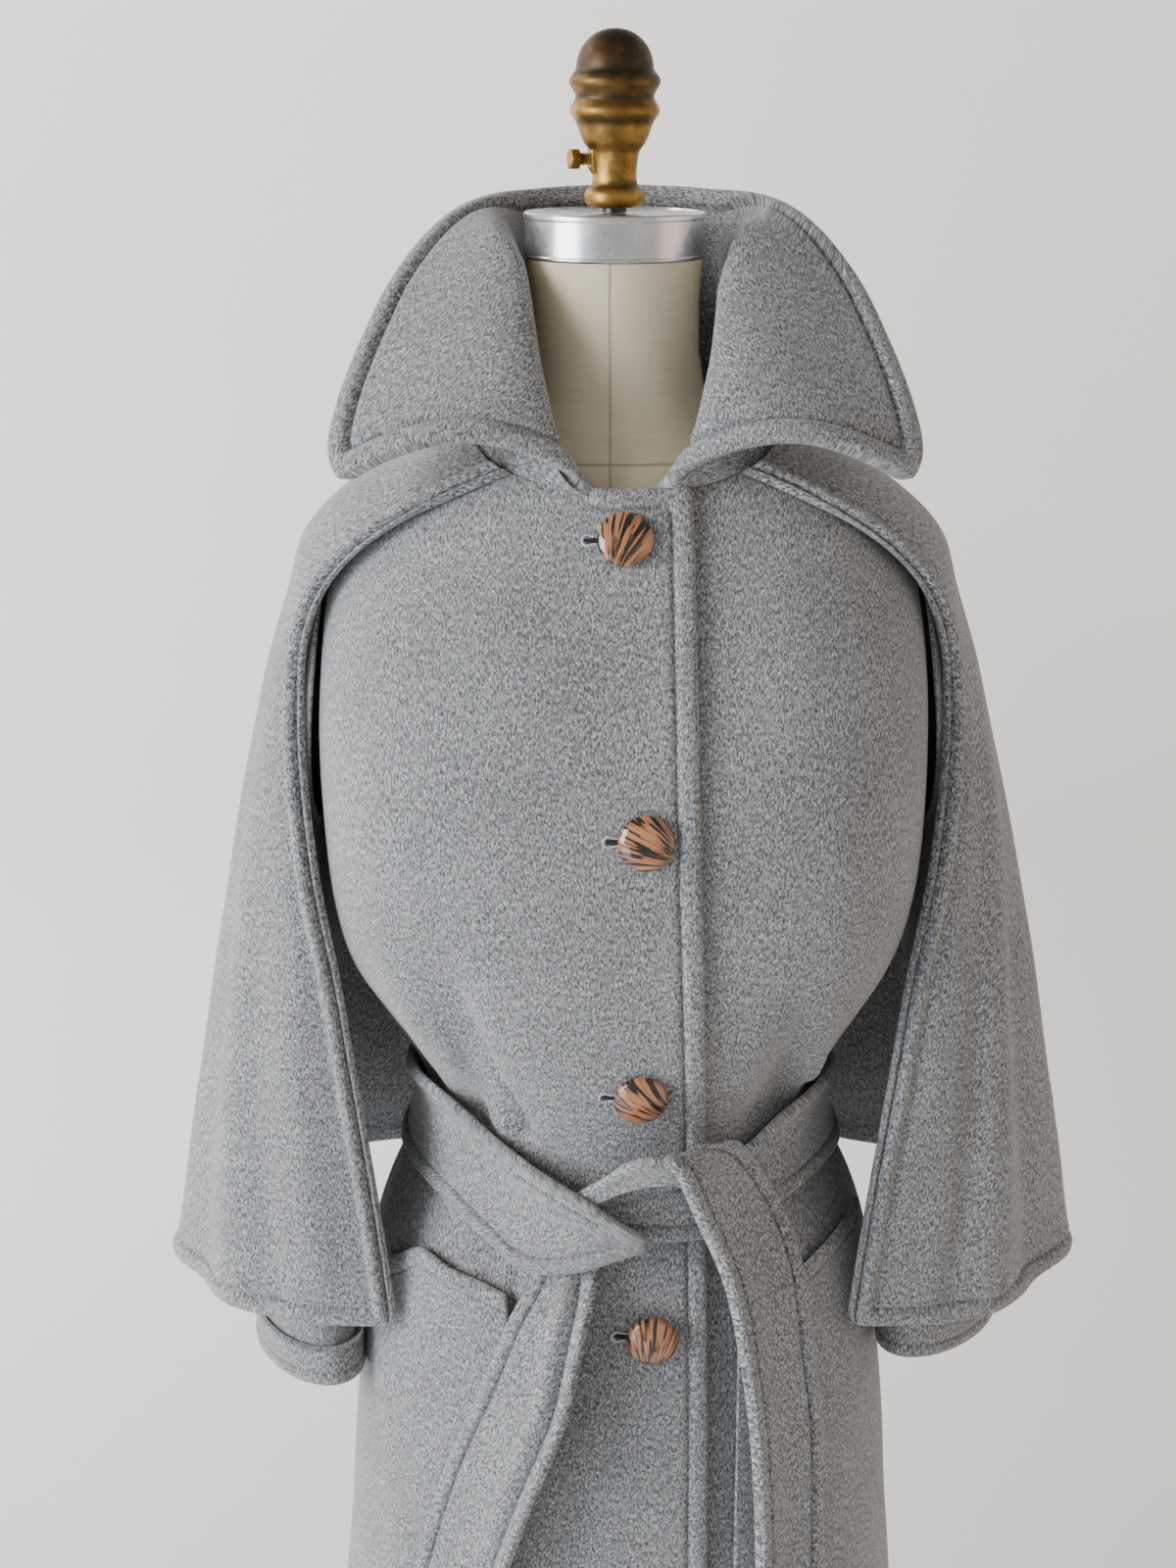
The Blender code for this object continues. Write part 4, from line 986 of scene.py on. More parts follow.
def wall_mesh(name, outer, inner, turn, closed, laid, stitch, run):
    """The closed mesh of a cloth wall whose two faces meet along its free edges."""
    rows, columns = outer.shape[:2]
    used = columns - 1 if closed else columns
    number = np.arange(rows * used).reshape(rows, used)
    inside = np.ones((rows, used), bool)
    inside[0] = inside[-1] = False
    if not closed:
        inside[:, 0] = inside[:, -1] = False
    back = number.copy()
    back[inside] = rows * used + np.arange(inside.sum())
    if closed:
        number = np.concatenate([number, number[:, :1]], axis=1)
        back = np.concatenate([back, back[:, :1]], axis=1)
    verts = np.concatenate([outer[:, :used].reshape(-1, 3), inner[:, :used][inside]])

    def quads(index, flip):
        corners = [index[:-1, :-1], index[:-1, 1:], index[1:, 1:], index[1:, :-1]]
        if flip:
            corners.reverse()
        return np.stack([c.ravel() for c in corners], axis=1)

    faces = np.concatenate([quads(number, turn < 0), quads(back, turn > 0)])
    mesh = bpy.data.meshes.new(name)
    mesh.vertices.add(len(verts))
    mesh.vertices.foreach_set("co", verts.ravel())
    mesh.loops.add(faces.size)
    mesh.loops.foreach_set("vertex_index", faces.ravel())
    mesh.polygons.add(len(faces))
    mesh.polygons.foreach_set("loop_start", np.arange(0, faces.size, 4))
    mesh.polygons.foreach_set("loop_total", np.full(len(faces), 4))
    mesh.update(calc_edges=True)
    mesh.validate()
    spots = np.arange(rows * columns).reshape(rows, columns)
    loops = np.concatenate([quads(spots, turn < 0), quads(spots, turn > 0)]).ravel()
    uv = np.stack([laid[0].ravel()[loops], laid[1].ravel()[loops]], axis=1)
    layer = mesh.uv_layers.new(name="cloth")
    layer.data.foreach_set("uv", uv.ravel())
    # The mask of the painted shade in the stitching's grooves, and the distance along them for its
    # dashes
    for label, values in (("stitch", stitch), ("run", run)):
        attribute = mesh.attributes.new(label, "FLOAT", "POINT")
        flat = np.concatenate([values[:, :used].ravel(), values[:, :used][inside]])
        if label == "stitch":
            flat[rows * used:] *= 0.5
        attribute.data.foreach_set("value", flat)
    mesh.shade_smooth()
    return link(name, mesh)


def sew(finish, node, face, turn, edges, size, held, rests_on, **details):
    """Makes the cloth over a node, with its finish, hangs it under the root and hides the node; the
    cut it works out is not used.
    """
    made, cut = cloth("wool_" + node, face, turn, edges, *size, **details)
    made.data.materials.append(finish)
    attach(made, "root")
    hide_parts(node)


# Finishes


class Wire:
    """A socket of a finish's nodes; arithmetic on it adds Math nodes."""

    def __init__(self, finish, socket):
        self.finish = finish
        self.socket = socket

    def math(self, operation, other=0.0):
        inputs = {0: self, 1: other}
        return self.finish.node("ShaderNodeMath", {"operation": operation}, inputs)

    def __add__(self, other):
        return self.math("ADD", other)

    def __sub__(self, other):
        return self.math("SUBTRACT", other)

    def __mul__(self, other):
        return self.math("MULTIPLY", other)

    def __pow__(self, other):
        return self.math("POWER", other)

    __radd__ = __add__
    __rmul__ = __mul__


class Finish:
    """A procedural material round one Principled shader."""

    def __init__(self, name, **constants):
        self.material = bpy.data.materials.new(name)
        self.material.use_nodes = True
        self.tree = self.material.node_tree
        self.shader = self.tree.nodes["Principled BSDF"]
        for label, value in constants.items():
            self.shader.inputs[label.replace("_", " ")].default_value = value

    def node(self, kind, settings, inputs, out=0):
        made = self.tree.nodes.new(kind)
        for label, value in settings.items():
            if label == "stops":
                stops = made.color_ramp.elements
                while len(stops) < len(value):
                    stops.new(0.5)
                for stop, (place, colour) in zip(stops, value):
                    stop.position = place
                    stop.color = (*colour, 1.0)
            else:
                setattr(made, label, value)
        for label, value in inputs.items():
            if isinstance(value, Wire):
                self.tree.links.new(value.socket, made.inputs[label])
            else:
                made.inputs[label].default_value = value
        return Wire(self, made.outputs[out])

    def feed(self, label, wire):
        self.tree.links.new(wire.socket, self.shader.inputs[label])

    def place(self):
        return self.node("ShaderNodeTexCoord", {}, {}, "Object")

    def parts(self, vector):
        return [self.node("ShaderNodeSeparateXYZ", {}, {0: vector}, k) for k in range(3)]

    def joined(self, *parts):
        return self.node("ShaderNodeCombineXYZ", {}, dict(enumerate(parts)))

    def eased(self, value, low, high, first, last):
        """first where the value is low, last where it is high, and smooth between them."""
        inputs = {"Value": value, "From Min": low, "From Max": high, "To Min": first}
        inputs["To Max"] = last
        return self.node("ShaderNodeMapRange", {"interpolation_type": "SMOOTHSTEP"}, inputs)

    def attribute(self, name):
        return self.node("ShaderNodeAttribute", {"attribute_name": name}, {}, "Fac")

    def scaled(self, vector, size):
        return self.node(
            "ShaderNodeVectorMath", {"operation": "MULTIPLY"}, {0: vector, 1: size}
        )

    def noise(self, vector, scale, detail=2.0, roughness=0.5, distortion=0.0):
        settings = {"noise_dimensions": "3D"}
        return self.node("ShaderNodeTexNoise", settings, {
            "Vector": vector, "Scale": scale, "Detail": detail,
            "Roughness": roughness, "Distortion": distortion,
        })

    def between(self, amount, first, second):
        settings = {"data_type": "RGBA"}
        return self.node("ShaderNodeMix", settings, {0: amount, 6: first, 7: second}, 2)

    def ramp(self, amount, *stops):
        return self.node("ShaderNodeValToRGB", {"stops": stops}, {0: amount})

    def bump(self, height, distance, strength=1.0):
        inputs = {"Height": height, "Distance": distance, "Strength": strength}
        self.feed("Normal", self.node("ShaderNodeBump", {}, inputs))


WOOL_DARK = (0.080, 0.078, 0.077)
WOOL_MIDDLE = (0.255, 0.253, 0.255)
WOOL_LIGHT = (0.640, 0.640, 0.645)
# Painted shade in the stitching's grooves, darker in dashes where the stitches lie
STITCH_AND_GROOVE_SHADE = (0.050, 0.050, 0.055, 1.0)
EVEN = (1.0, 1.0, 1.0)


def wool():
    """Napped melange coating: light and dark fibres lying down the cloth, with painted shade in the
    grooves of its stitching.
    """
    made = Finish("napped_wool", Roughness=0.95, Sheen_Weight=0.35, Sheen_Roughness=0.5)
    made.shader.inputs["Specular IOR Level"].default_value = 0.15
    laid = made.node("ShaderNodeUVMap", {"uv_map": "cloth"}, {})
    stitch, run = made.attribute("stitch"), made.attribute("run")
    hair = made.noise(made.scaled(laid, (1.0, 0.36, 1.0)), 1500.0, 1.0, 0.6, 0.8)
    fibre = made.noise(made.scaled(laid, (1.0, 0.38, 1.0)), 850.0, 2.0, 0.6, 0.6)
    cloud = made.noise(made.place(), 16.0, 3.0, 0.55)
    tone = hair * 0.48 + fibre * 0.47 + cloud * 0.05
    colour = made.ramp(
        tone, (0.392, WOOL_DARK), (0.50, WOOL_MIDDLE), (0.612, WOOL_LIGHT)
    )
    # Painted shade in the stitching's grooves, deeper in dashes where the stitches lie
    prick = (run * (2 * math.pi / STITCH_LENGTH)).math("SINE")
    shade = stitch * (0.22 + 0.10 * prick)
    made.feed("Base Color", made.between(shade, colour, STITCH_AND_GROOVE_SHADE))
    made.bump(hair * 0.5 + fibre * 0.6, 0.0007, 0.6)
    return made.material


def button_finish():
    """Copper-coloured moulding with black streaks that fan out from one side."""
    made = Finish("streaked_moulding", Roughness=0.10, Coat_Weight=1.0, Coat_Roughness=0.03)
    laid = made.node("ShaderNodeUVMap", {"uv_map": "button"}, {})
    x, y, _ = made.parts(laid)
    _, _, height = made.parts(made.place())
    far = y + 1.9
    fan = x.math("ARCTAN2", far)
    reach = (x * x + far * far) ** 0.5
    lines = made.joined(fan * 15.0, reach * 0.65, height * 12.0)
    grain = made.joined(fan * 46.0, reach * 2.4, height * 12.0)
    streak = made.noise(lines, 1.25, 1.0, 0.4, 0.5) + 0.26 * (made.noise(grain, 1.0, 2.0) - 0.5)
    crackle = made.noise(made.scaled(laid, (1.0, 1.6, 1.0)), 5.5, 3.0, 0.6, 1.2)
    near = made.eased(reach, 0.95, 1.65, 0.20, 0.0)
    tone = streak - near * crackle * 1.7 + near * 0.62
    colour = made.ramp(
        tone,
        (0.420, (0.012, 0.009, 0.008)),
        (0.450, (0.060, 0.028, 0.015)),
        (0.490, (0.36, 0.140, 0.055)),
        (0.640, (0.58, 0.240, 0.105)),
    )
    made.feed("Base Color", colour)
    made.feed("Roughness", 0.08 + 0.10 * streak)
    return made.material


def canvas():
    """Cream linen over the form, with its front and ring seams."""
    made = Finish("linen_canvas", Roughness=0.88)
    place = made.place()
    x, y, z = made.parts(place)
    warp = (x.math("ARCTAN2", y) * 330.0).math("SINE")
    weft = (z * 6300.0).math("SINE")
    slub = made.noise(made.scaled(place, (1.0, 1.0, 9.0)), 60.0, 3.0, 0.6)
    age = made.noise(place, 14.0, 3.0, 0.6)
    weave = warp * weft
    front = y.math("LESS_THAN", 0.0)
    beside = (x - NECK_FRONT_SEAM_X) * 1500.0
    above = (z - NECK_RING_SEAM) * 1300.0
    upright = (beside * beside * -1.0).math("EXPONENT")
    level = (above * above * -1.0).math("EXPONENT")
    seam = (upright * front).math("MAXIMUM", level)
    tone = 0.5 + 0.30 * (age - 0.5) + 0.30 * (slub - 0.5) + 0.10 * weave
    colour = made.ramp(tone, (0.3, (0.72, 0.590, 0.380)), (0.7, (0.92, 0.810, 0.590)))
    made.feed("Base Color", made.between(seam * 0.6, colour, (0.21, 0.17, 0.12, 1.0)))
    made.bump(weave * 0.3 + slub * 0.4 - seam * 1.5, 0.0004, 0.5)
    return made.material


def aluminium():
    """Turned and polished, with faint rings on top and handling marks."""
    made = Finish("turned_aluminium", Metallic=1.0)
    x, y, z = made.parts(made.place())
    reach = (x * x + y * y) ** 0.5
    turning = made.noise(made.joined(reach * 900.0, z * 900.0, 0.0), 1.0, 3.0, 0.6)
    wear = made.noise(made.place(), 55.0, 4.0, 0.65)
    made.feed("Base Color", made.ramp(
        wear, (0.3, (0.60, 0.60, 0.61)), (0.7, (0.80, 0.80, 0.81))
    ))
    made.feed("Roughness", 0.17 + 0.20 * wear)
    made.bump(turning * 0.5 + wear * 0.2, 0.0003, 0.35)
    return made.material


def brass():
    """Antique cast brass: darker towards the dome, dark patina in the hollows, lighter below."""
    made = Finish("antique_brass", Metallic=1.0)
    place = made.place()
    _, _, z = made.parts(place)
    cast = made.noise(place, 420.0, 4.0, 0.65)
    patch = made.noise(place, 70.0, 4.0, 0.6, 0.4)
    dark = made.eased(z, 1.588, 1.630, 0.05, 0.62) + 1.1 * (patch - 0.38)
    for groove in FINIAL_GROOVES:
        beside = (z - groove) * 480.0
        dark = dark + 0.42 * (beside * beside * -1.0).math("EXPONENT")
    colour = made.ramp(
        dark,
        (0.04, (0.50, 0.290, 0.075)),
        (0.32, (0.235, 0.130, 0.036)),
        (0.78, (0.070, 0.048, 0.030)),
    )
    made.feed("Base Color", colour)
    made.feed("Roughness", 0.30 + 0.22 * patch + 0.08 * cast)
    made.bump(cast * 0.6 + patch * 0.5, 0.0005, 0.55)
    return made.material


def grained(name, grain, dark, light, bump=None, **constants):
    """A finish of two tones; grain is the noise's settings and tones are a place and a colour."""
    made = Finish(name, **constants)
    stretch, *settings = grain
    tone = made.noise(made.scaled(made.place(), stretch), *settings)
    made.feed("Base Color", made.ramp(tone, dark, light))
    if bump:
        made.bump(tone, *bump)
    return made, tone


def steel(name, colour, roughness):
    """Dark satin metal with a faint grain."""
    darker = tuple(0.7 * c for c in colour)
    grain = (EVEN, 260.0, 4.0, 0.6)
    made, tone = grained(name, grain, (0.35, darker), (0.65, colour), (0.0002, 0.3), Metallic=0.9)
    made.feed("Roughness", roughness + 0.15 * (tone - 0.5))
    return made.material


def thread():
    """Twisted sewing thread, with painted highlights on its strands and painted shade in the hollows
    between them.
    """
    made, _ = grained(
        "buttonhole_thread", ((1.0, 1.0, 0.5), 2300.0, 2.0, 0.6),
        (0.42, (0.06, 0.06, 0.07)), (0.50, (0.86, 0.86, 0.88)), (0.0004, 0.8),
        Roughness=0.7, Sheen_Weight=0.2,
    )
    return made.material


def painted_slit_shade():
    """Painted shade: the dark inside of a buttonhole's slit, where it lies in shadow."""
    made, _ = grained(
        "buttonhole_slit_shade", (EVEN, 1500.0, 2.0),
        (0.3, (0.010, 0.010, 0.012)), (0.8, (0.045, 0.045, 0.05)), Roughness=0.95,
    )
    return made.material


def painted_sweep():
    """Matt off-white paint."""
    made, _ = grained(
        "pale_paint", (EVEN, 0.7, 2.0),
        (0.3, (0.755, 0.745, 0.725)), (0.7, (0.785, 0.775, 0.755)), Roughness=0.85,
    )
    return made.material


# Hard pieces, by Blender's own tools

LEAST_RADIUS = 1e-5       # of a ring that is merged into one point


def start_edit():
    bpy.ops.object.mode_set(mode="EDIT")
    bpy.ops.mesh.select_all(action="SELECT")


def finish_piece(name, finish, nodes=(), smooth=35):
    """Ends editing, shades the piece, gives it its place and finish, and hides the nodes it stands
    in for.
    """
    if bpy.context.object.mode == "EDIT":
        bpy.ops.object.mode_set(mode="OBJECT")
    made = bpy.context.object
    made.name = name
    made.data.name = name
    bpy.ops.object.transform_apply(location=True, rotation=True, scale=True)
    made.data.materials.clear()
    made.data.materials.append(finish)
    bpy.ops.object.shade_smooth_by_angle(angle=math.radians(smooth))
    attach(made, "root")
    if nodes:
        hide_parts(*nodes)
    deselect()
    return made


def raise_rings(profile, sides):
    """One ring after another, extruded up the axis and scaled to its radius; stays in editing."""
    deselect()
    height, radius = profile[0]
    bpy.ops.mesh.primitive_circle_add(
        vertices=sides, radius=radius, fill_type="NGON", location=(0, 0, height)
    )
    bpy.ops.object.transform_apply(location=True, rotation=True, scale=True)
    start_edit()
    for next_height, next_radius in profile[1:]:
        rise = {"value": (0, 0, next_height - height)}
        bpy.ops.mesh.extrude_region_move(TRANSFORM_OT_translate=rise)
        next_radius = max(next_radius, LEAST_RADIUS)
        ratio = next_radius / radius
        bpy.ops.transform.resize(value=(ratio, ratio, 1), center_override=(0, 0, next_height))
        height, radius = next_height, next_radius


def turned(name, profile, finish, nodes=(), sides=64, smooth=35):
    """A turned piece from rows of height and radius, closed at both ends."""
    raise_rings(profile, sides)
    if profile[-1][1] == 0:
        bpy.ops.mesh.merge(type="CENTER")
    bpy.ops.mesh.select_all(action="SELECT")
    bpy.ops.mesh.normals_make_consistent(inside=False)
    return finish_piece(name, finish, nodes, smooth)


def smooth_profile(rows, count):
    """The same profile with more rows, on a smooth curve."""
    table = Table("place height radius", [(k, h, r) for k, (h, r) in enumerate(rows)])
    place = np.linspace(0, len(rows) - 1, count)
    read = table.at(place)
    profile = [(float(h), float(max(r, 0))) for h, r in zip(read.height, read.radius)]
    profile[-1] = rows[-1]
    return profile


def surface_of(made):
    """The faces of a piece, for finding places on it."""
    spots = [vertex.co for vertex in made.data.vertices]
    return BVHTree.FromPolygons(spots, [face.vertices for face in made.data.polygons])


def seat(spot, facing):
    """The matrix that sets a piece modelled at the origin, facing +Z, on a spot of the coat."""
    right = Vector((0, 0, 1)).cross(facing).normalized()
    frame_of = Matrix((right, facing.cross(right), facing)).transposed().to_4x4()
    return Matrix.Translation(spot) @ frame_of


def set_on_cloth(made, cloth_surface, x, height, lift):
    ahead = Vector((x + COAT_X, -1, height))
    spot, facing, _, _ = cloth_surface.ray_cast(ahead, Vector((0, 1, 0)))
    made.data.transform(seat(spot + facing * lift, facing))


def build_buttons(finish):
    dome = [(0.0, 0.90), (0.08, 0.965), (0.20, 0.995), (0.33, 1.0), (0.45, 0.985), (0.56, 0.94)]
    dome += [(0.70, 0.82), (0.82, 0.66), (0.91, 0.47), (0.97, 0.27), (0.995, 0.10), (1.0, 0.0)]
    profile = smooth_profile([(h * BUTTON_HEIGHT, r * BUTTON_RADIUS) for h, r in dome], 26)
    for number, row in enumerate(BUTTONS, 1):
        made = turned(
            f"domed_button_{number}", profile, finish, [f"button_{number}"], 72, 60
        )
        flat = np.zeros(len(made.data.vertices) * 3)
        made.data.vertices.foreach_get("co", flat)
        place = flat.reshape(-1, 3)[:, :2] * (-1, 1) / BUTTON_RADIUS
        corner = np.zeros(len(made.data.loops), int)
        made.data.loops.foreach_get("vertex_index", corner)
        layer = made.data.uv_layers.new(name="button")
        layer.data.foreach_set("uv", place[corner].ravel())
        droop = math.radians(row.droop)
        lift = BUTTON_LIFT + BUTTON_RADIUS * math.sin(droop)
        angle = front_angle(row.x + COAT_X, row.height)
        facing = Matrix.Rotation(droop, 3, "X") @ Vector(body_normal(angle, row.height))
        spin = Matrix.Rotation(-math.radians(row.turned), 4, "Z")
        made.data.transform(seat(Vector(body(angle, row.height, lift)), facing) @ spin)


def build_buttonholes(thread_finish, slit_shade_finish):
    """A keyhole of worked thread round a slit, reaching out from under each button; the slit is a
    dark core of painted shade.
    """
    cloth_surface = surface_of(bpy.data.objects["wool_front_right"])
    length, height = BUTTONHOLE_LENGTH, BUTTONHOLE_HEIGHT
    for number, row in enumerate(BUTTONS, 1):
        middle = row.x - BUTTONHOLE_REACH + 0.5 * length
        deselect()
        bpy.ops.mesh.primitive_torus_add(
            major_segments=2 * BUTTONHOLE_STITCHES, minor_segments=8,
            major_radius=0.5 * height, minor_radius=BUTTONHOLE_CORD,
        )
        ring = bpy.context.object
        for spot in ring.data.vertices:
            turn = math.atan2(spot.co.y, spot.co.x)
            out = BUTTONHOLE_STITCH * math.sin(BUTTONHOLE_STITCHES * turn)
            spot.co.x += out * math.cos(turn)
            spot.co.y += out * math.sin(turn)
            if spot.co.x > 0:
                spot.co.x += (length - height) * min(1.0, spot.co.x / 0.0012)
            pinch = min(1.0, max(0.0, (spot.co.x - 0.001) / 0.002))
            spot.co.y *= 1 - 0.30 * pinch
        ring.data.transform(Matrix.Translation((-0.5 * (length - height), 0, 0)))
        made = finish_piece(f"buttonhole_{number}", thread_finish, (), 60)
        set_on_cloth(made, cloth_surface, middle, row.height, 0.0006)
        # A dark core fills the slit as painted shade for its shadowed inside
        bpy.ops.mesh.primitive_uv_sphere_add(segments=24, ring_count=10, radius=1.0)
        core = bpy.context.object
        core.data.transform(Matrix.Diagonal((0.5 * length - 0.0012, 0.0017, 0.0008, 1)))
        made = finish_piece(f"buttonhole_slit_shade_{number}", slit_shade_finish, (), 60)
        set_on_cloth(made, cloth_surface, middle, row.height, 0.0002)


def build_overlock(finish):
    """The zigzag thread over the raw upper edge of each cuff."""
    for name, side in SIDES.items():
        table = sleeve_table(name)
        turns = np.linspace(0, 2 * math.pi, OVERLOCK_POINTS + 1)
        high = np.arange(OVERLOCK_POINTS + 1) % 2
        z = CUFF[name].height + CUFF_WIDTH - OVERLOCK_LOW + OVERLOCK_WIDTH * high
        spots = on_side(sleeve_ring(table, z, turns, CUFF_GAP + CLOTH + SEAM_GAP), side)
        line = bpy.data.curves.new("overlock", "CURVE")
        line.dimensions = "3D"
        line.bevel_depth = OVERLOCK_THREAD
        line.bevel_resolution = 1
        spline = line.splines.new("POLY")
        spline.points.add(OVERLOCK_POINTS - 1)
        for point, spot in zip(spline.points, spots[:OVERLOCK_POINTS]):
            point.co = (*spot, 1.0)
        spline.use_cyclic_u = True
        made = link("overlock", line)
        deselect()
        made.select_set(True)
        bpy.context.view_layer.objects.active = made
        bpy.ops.object.convert(target="MESH")
        finish_piece(f"cuff_overlock_{name}", finish, (), 60)


def build_form(canvas_finish, metal, brass_finish, rod_finish, stand_finish):
    """The covered torso, its metal fittings, and the stand."""
    source = bpy.data.objects["form_torso"]
    made = source.copy()
    made.data = source.data.copy()
    made.name = "covered_torso"
    made.data.name = "covered_torso"
    bpy.context.scene.collection.objects.link(made)
    builder = bmesh.new()
    builder.from_mesh(made.data)
    bmesh.ops.remove_doubles(builder, verts=builder.verts, dist=1e-5)
    bmesh.ops.dissolve_limit(
        builder, angle_limit=math.radians(0.5), verts=builder.verts, edges=builder.edges
    )
    builder.to_mesh(made.data)
    builder.free()
    deselect()
    bpy.context.view_layer.objects.active = made
    made.select_set(True)
    finish_piece("covered_torso", canvas_finish, ["form_torso"], 40)
    top, low = NECK_CAP_TOP, NECK_CAP_TOP - NECK_CAP_HEIGHT
    radius = NECK_CAP_RADIUS
    cap = [
        (low, radius - 0.0004), (low + 0.0006, radius), (low + 0.0016, radius),
        (low + 0.0022, radius - 0.0003), (top - 0.0040, radius - 0.0004),
        (top - 0.0032, radius), (top - 0.0008, radius), (top, radius - 0.0008),
        (top, radius - 0.0040), (top - 0.0009, radius - 0.0045),
        (top - 0.0010, 0.030), (top - 0.0013, 0.0296), (top - 0.0013, 0.012),
    ]
    turned("polished_neck_cap", cap, metal, ["form_neck_cap"], 128, 25)
    rod = [(top - 0.0007, ROD_RADIUS), (FINIAL[0][0] - SEAM_GAP, ROD_RADIUS)]
    turned("threaded_rod", rod, rod_finish, ["form_rod"], 40)
    dome = []
    for step in range(1, 17):
        turn = 0.5 * math.pi * step / 16
        height = DOME_FOOT + (FINIAL_TOP - DOME_FOOT) * math.sin(turn)
        dome.append((height, DOME_RADIUS * max(math.cos(turn), 0.0) ** 0.94))
    dome[-1] = (FINIAL_TOP, 0.0)
    finial = smooth_profile(FINIAL, 110) + dome
    turned("acorn_finial", finial, brass_finish, ["form_finial"], 96, 50)
    build_set_bolt(brass_finish)
    hub_foot = BASE_THICKNESS + SEAM_GAP
    hub = [
        (hub_foot, 0.045), (BASE_THICKNESS + 0.004, 0.0452), (BASE_THICKNESS + 0.010, 0.043),
        (BASE_THICKNESS + 0.014, 0.034), (BASE_THICKNESS + 0.022, 0.024),
        (BASE_THICKNESS + 0.048, 0.0205), (BASE_THICKNESS + 0.050, 0.0195),
    ]
    turned("stand_hub_casting", hub, stand_finish, ["stand_hub"], 64, 30)
    pole = [
        (BASE_THICKNESS + 0.050 + SEAM_GAP, POLE_RADIUS), (FORM_BOTTOM - SEAM_GAP, POLE_RADIUS)
    ]
    turned("stand_pole_tube", pole, stand_finish, ["stand_pole"], 48)
    base = [
        (0.0, BASE_RADIUS - 0.002), (0.0008, BASE_RADIUS - 0.0004), (0.002, BASE_RADIUS),
        (BASE_THICKNESS - 0.003, BASE_RADIUS), (BASE_THICKNESS - 0.001, BASE_RADIUS - 0.0012),
        (BASE_THICKNESS, BASE_RADIUS - 0.004),
    ]
    turned("stand_foot_plate", base, stand_finish, ["stand_base"], 128, 30)


def build_set_bolt(finish):
    """The hex bolt that clamps the finial on its rod: a threaded shank and a bevelled head."""
    turn = Matrix.Rotation(math.pi / 2, 4, "Y")
    aim = Matrix.Rotation(math.pi + BOLT_FORWARD, 4, "Z")
    place = Matrix.Translation((0, 0, BOLT_HEIGHT)) @ aim @ turn
    shank, reach = [], BOLT_START
    while reach < BOLT_REACH - BOLT_HEAD_LENGTH:
        shank += [(reach, THREAD_ROOT), (reach + 0.5 * THREAD_PITCH, BOLT_RADIUS)]
        reach += THREAD_PITCH
    shank += [(reach, THREAD_ROOT), (BOLT_REACH - 0.001, BOLT_RADIUS - 0.0003)]
    made = turned("set_bolt_shank", shank, finish, (), 24)
    made.data.transform(place)
    deselect()
    middle = (0, 0, BOLT_REACH - 0.5 * BOLT_HEAD_LENGTH)
    bpy.ops.mesh.primitive_cylinder_add(
        vertices=6, radius=BOLT_HEAD_RADIUS, depth=BOLT_HEAD_LENGTH, location=middle
    )
    bpy.ops.object.transform_apply(location=True, rotation=True, scale=True)
    start_edit()
    bpy.ops.mesh.bevel(offset=0.0007, segments=3, affect="EDGES")
    made = finish_piece("set_bolt_head", finish, ["form_set_bolt"], 40)
    made.data.transform(place)
    deselect()
    bpy.ops.mesh.primitive_cube_add(size=1.0)
    bpy.context.object.scale = BOSS_SIZE
    bpy.ops.object.transform_apply(location=True, rotation=True, scale=True)
    start_edit()
    bpy.ops.mesh.subdivide(number_cuts=3)
    bpy.ops.mesh.bevel(offset=0.0006, segments=1, affect="EDGES")
    made = finish_piece("set_bolt_boss", finish, (), 60)
    for vertex in made.data.vertices:
        tall = abs(vertex.co.z) / (0.5 * BOSS_SIZE[2])
        vertex.co.y *= 1 - 0.35 * tall**2
        if vertex.co.x > 0:
            vertex.co.x -= 0.0045 * tall**3
    made.data.transform(Matrix.Translation((0.5 * BOSS_SIZE[0], 0, 0)))
    made.data.transform(Matrix.Translation((0, 0, BOLT_HEIGHT)) @ aim)


# Cloth pieces


def build_body(finish):
    hem = Edge(BAND, TURNED_EDGE, PUFF)
    closing = Edge(BAND, FRONT_EDGE_THICK, PUFF)
    sew(
        finish, "front_right",
        panel(upper_edge, side_seam(0, -1, ARMHOLE_FRONT)), 1,
        {"top": closing, "bottom": hem, "start": closing, "end": SEWN}, (72, 190),
        "hung", "covered_torso",
        creases=FRONT_RIGHT_CREASES, corners=[("top", "start")], top_stretch=PLACKET_TOP,
    )
    sew(
        finish, "front_left",
        panel(under_edge, side_seam(0, 1, ARMHOLE_FRONT), under_step), -1,
        {"top": SEWN, "bottom": hem, "start": PLAIN, "end": SEWN}, (84, 190),
        "hung", "covered_torso", creases=FRONT_LEFT_CREASES,
    )
    seams = [side_seam(math.pi, way, ARMHOLE_BACK) for way in (-1, 1)]
    sew(
        finish, "back", panel(*seams), -1,
        {"top": SEWN, "bottom": hem, "start": SEWN, "end": SEWN}, (110, 170),
        "hung", "covered_torso", creases=BACK_CREASES,
    )


def build_sides(finish):
    """The sleeves, cuffs and pockets, which each side has."""
    cuff_edge = Edge(CUFF_BAND, CLOTH, CUFF_PUFF)
    pocket_band = Edge(POCKET_BAND, CLOTH, 0.6 * PUFF)
    sewn_side = Edge(0.0, SEAM_RIM)
    for name, side in SIDES.items():
        sew(
            finish, "sleeve_" + name, sleeve(name, side), -side,
            {"top": PLAIN, "bottom": PLAIN}, (64, 90),
            "hung", "wool_front_" + name, closed=True, creases=SLEEVE_CREASES,
        )
        sew(
            finish, "cuff_" + name, cuff(name, side), -side,
            {"top": PLAIN, "bottom": cuff_edge}, (120, 6),
            "hung", "wool_sleeve_" + name, closed=True, drape=0.0002,
        )
    for name, side in SIDES.items():
        sew(
            finish, "pocket_" + name, pocket(side), -side,
            {"top": pocket_band, "bottom": PLAIN, "start": sewn_side, "end": sewn_side}, (30, 46),
            "laid", "wool_front_" + name, creases=POCKET_CREASES,
        )


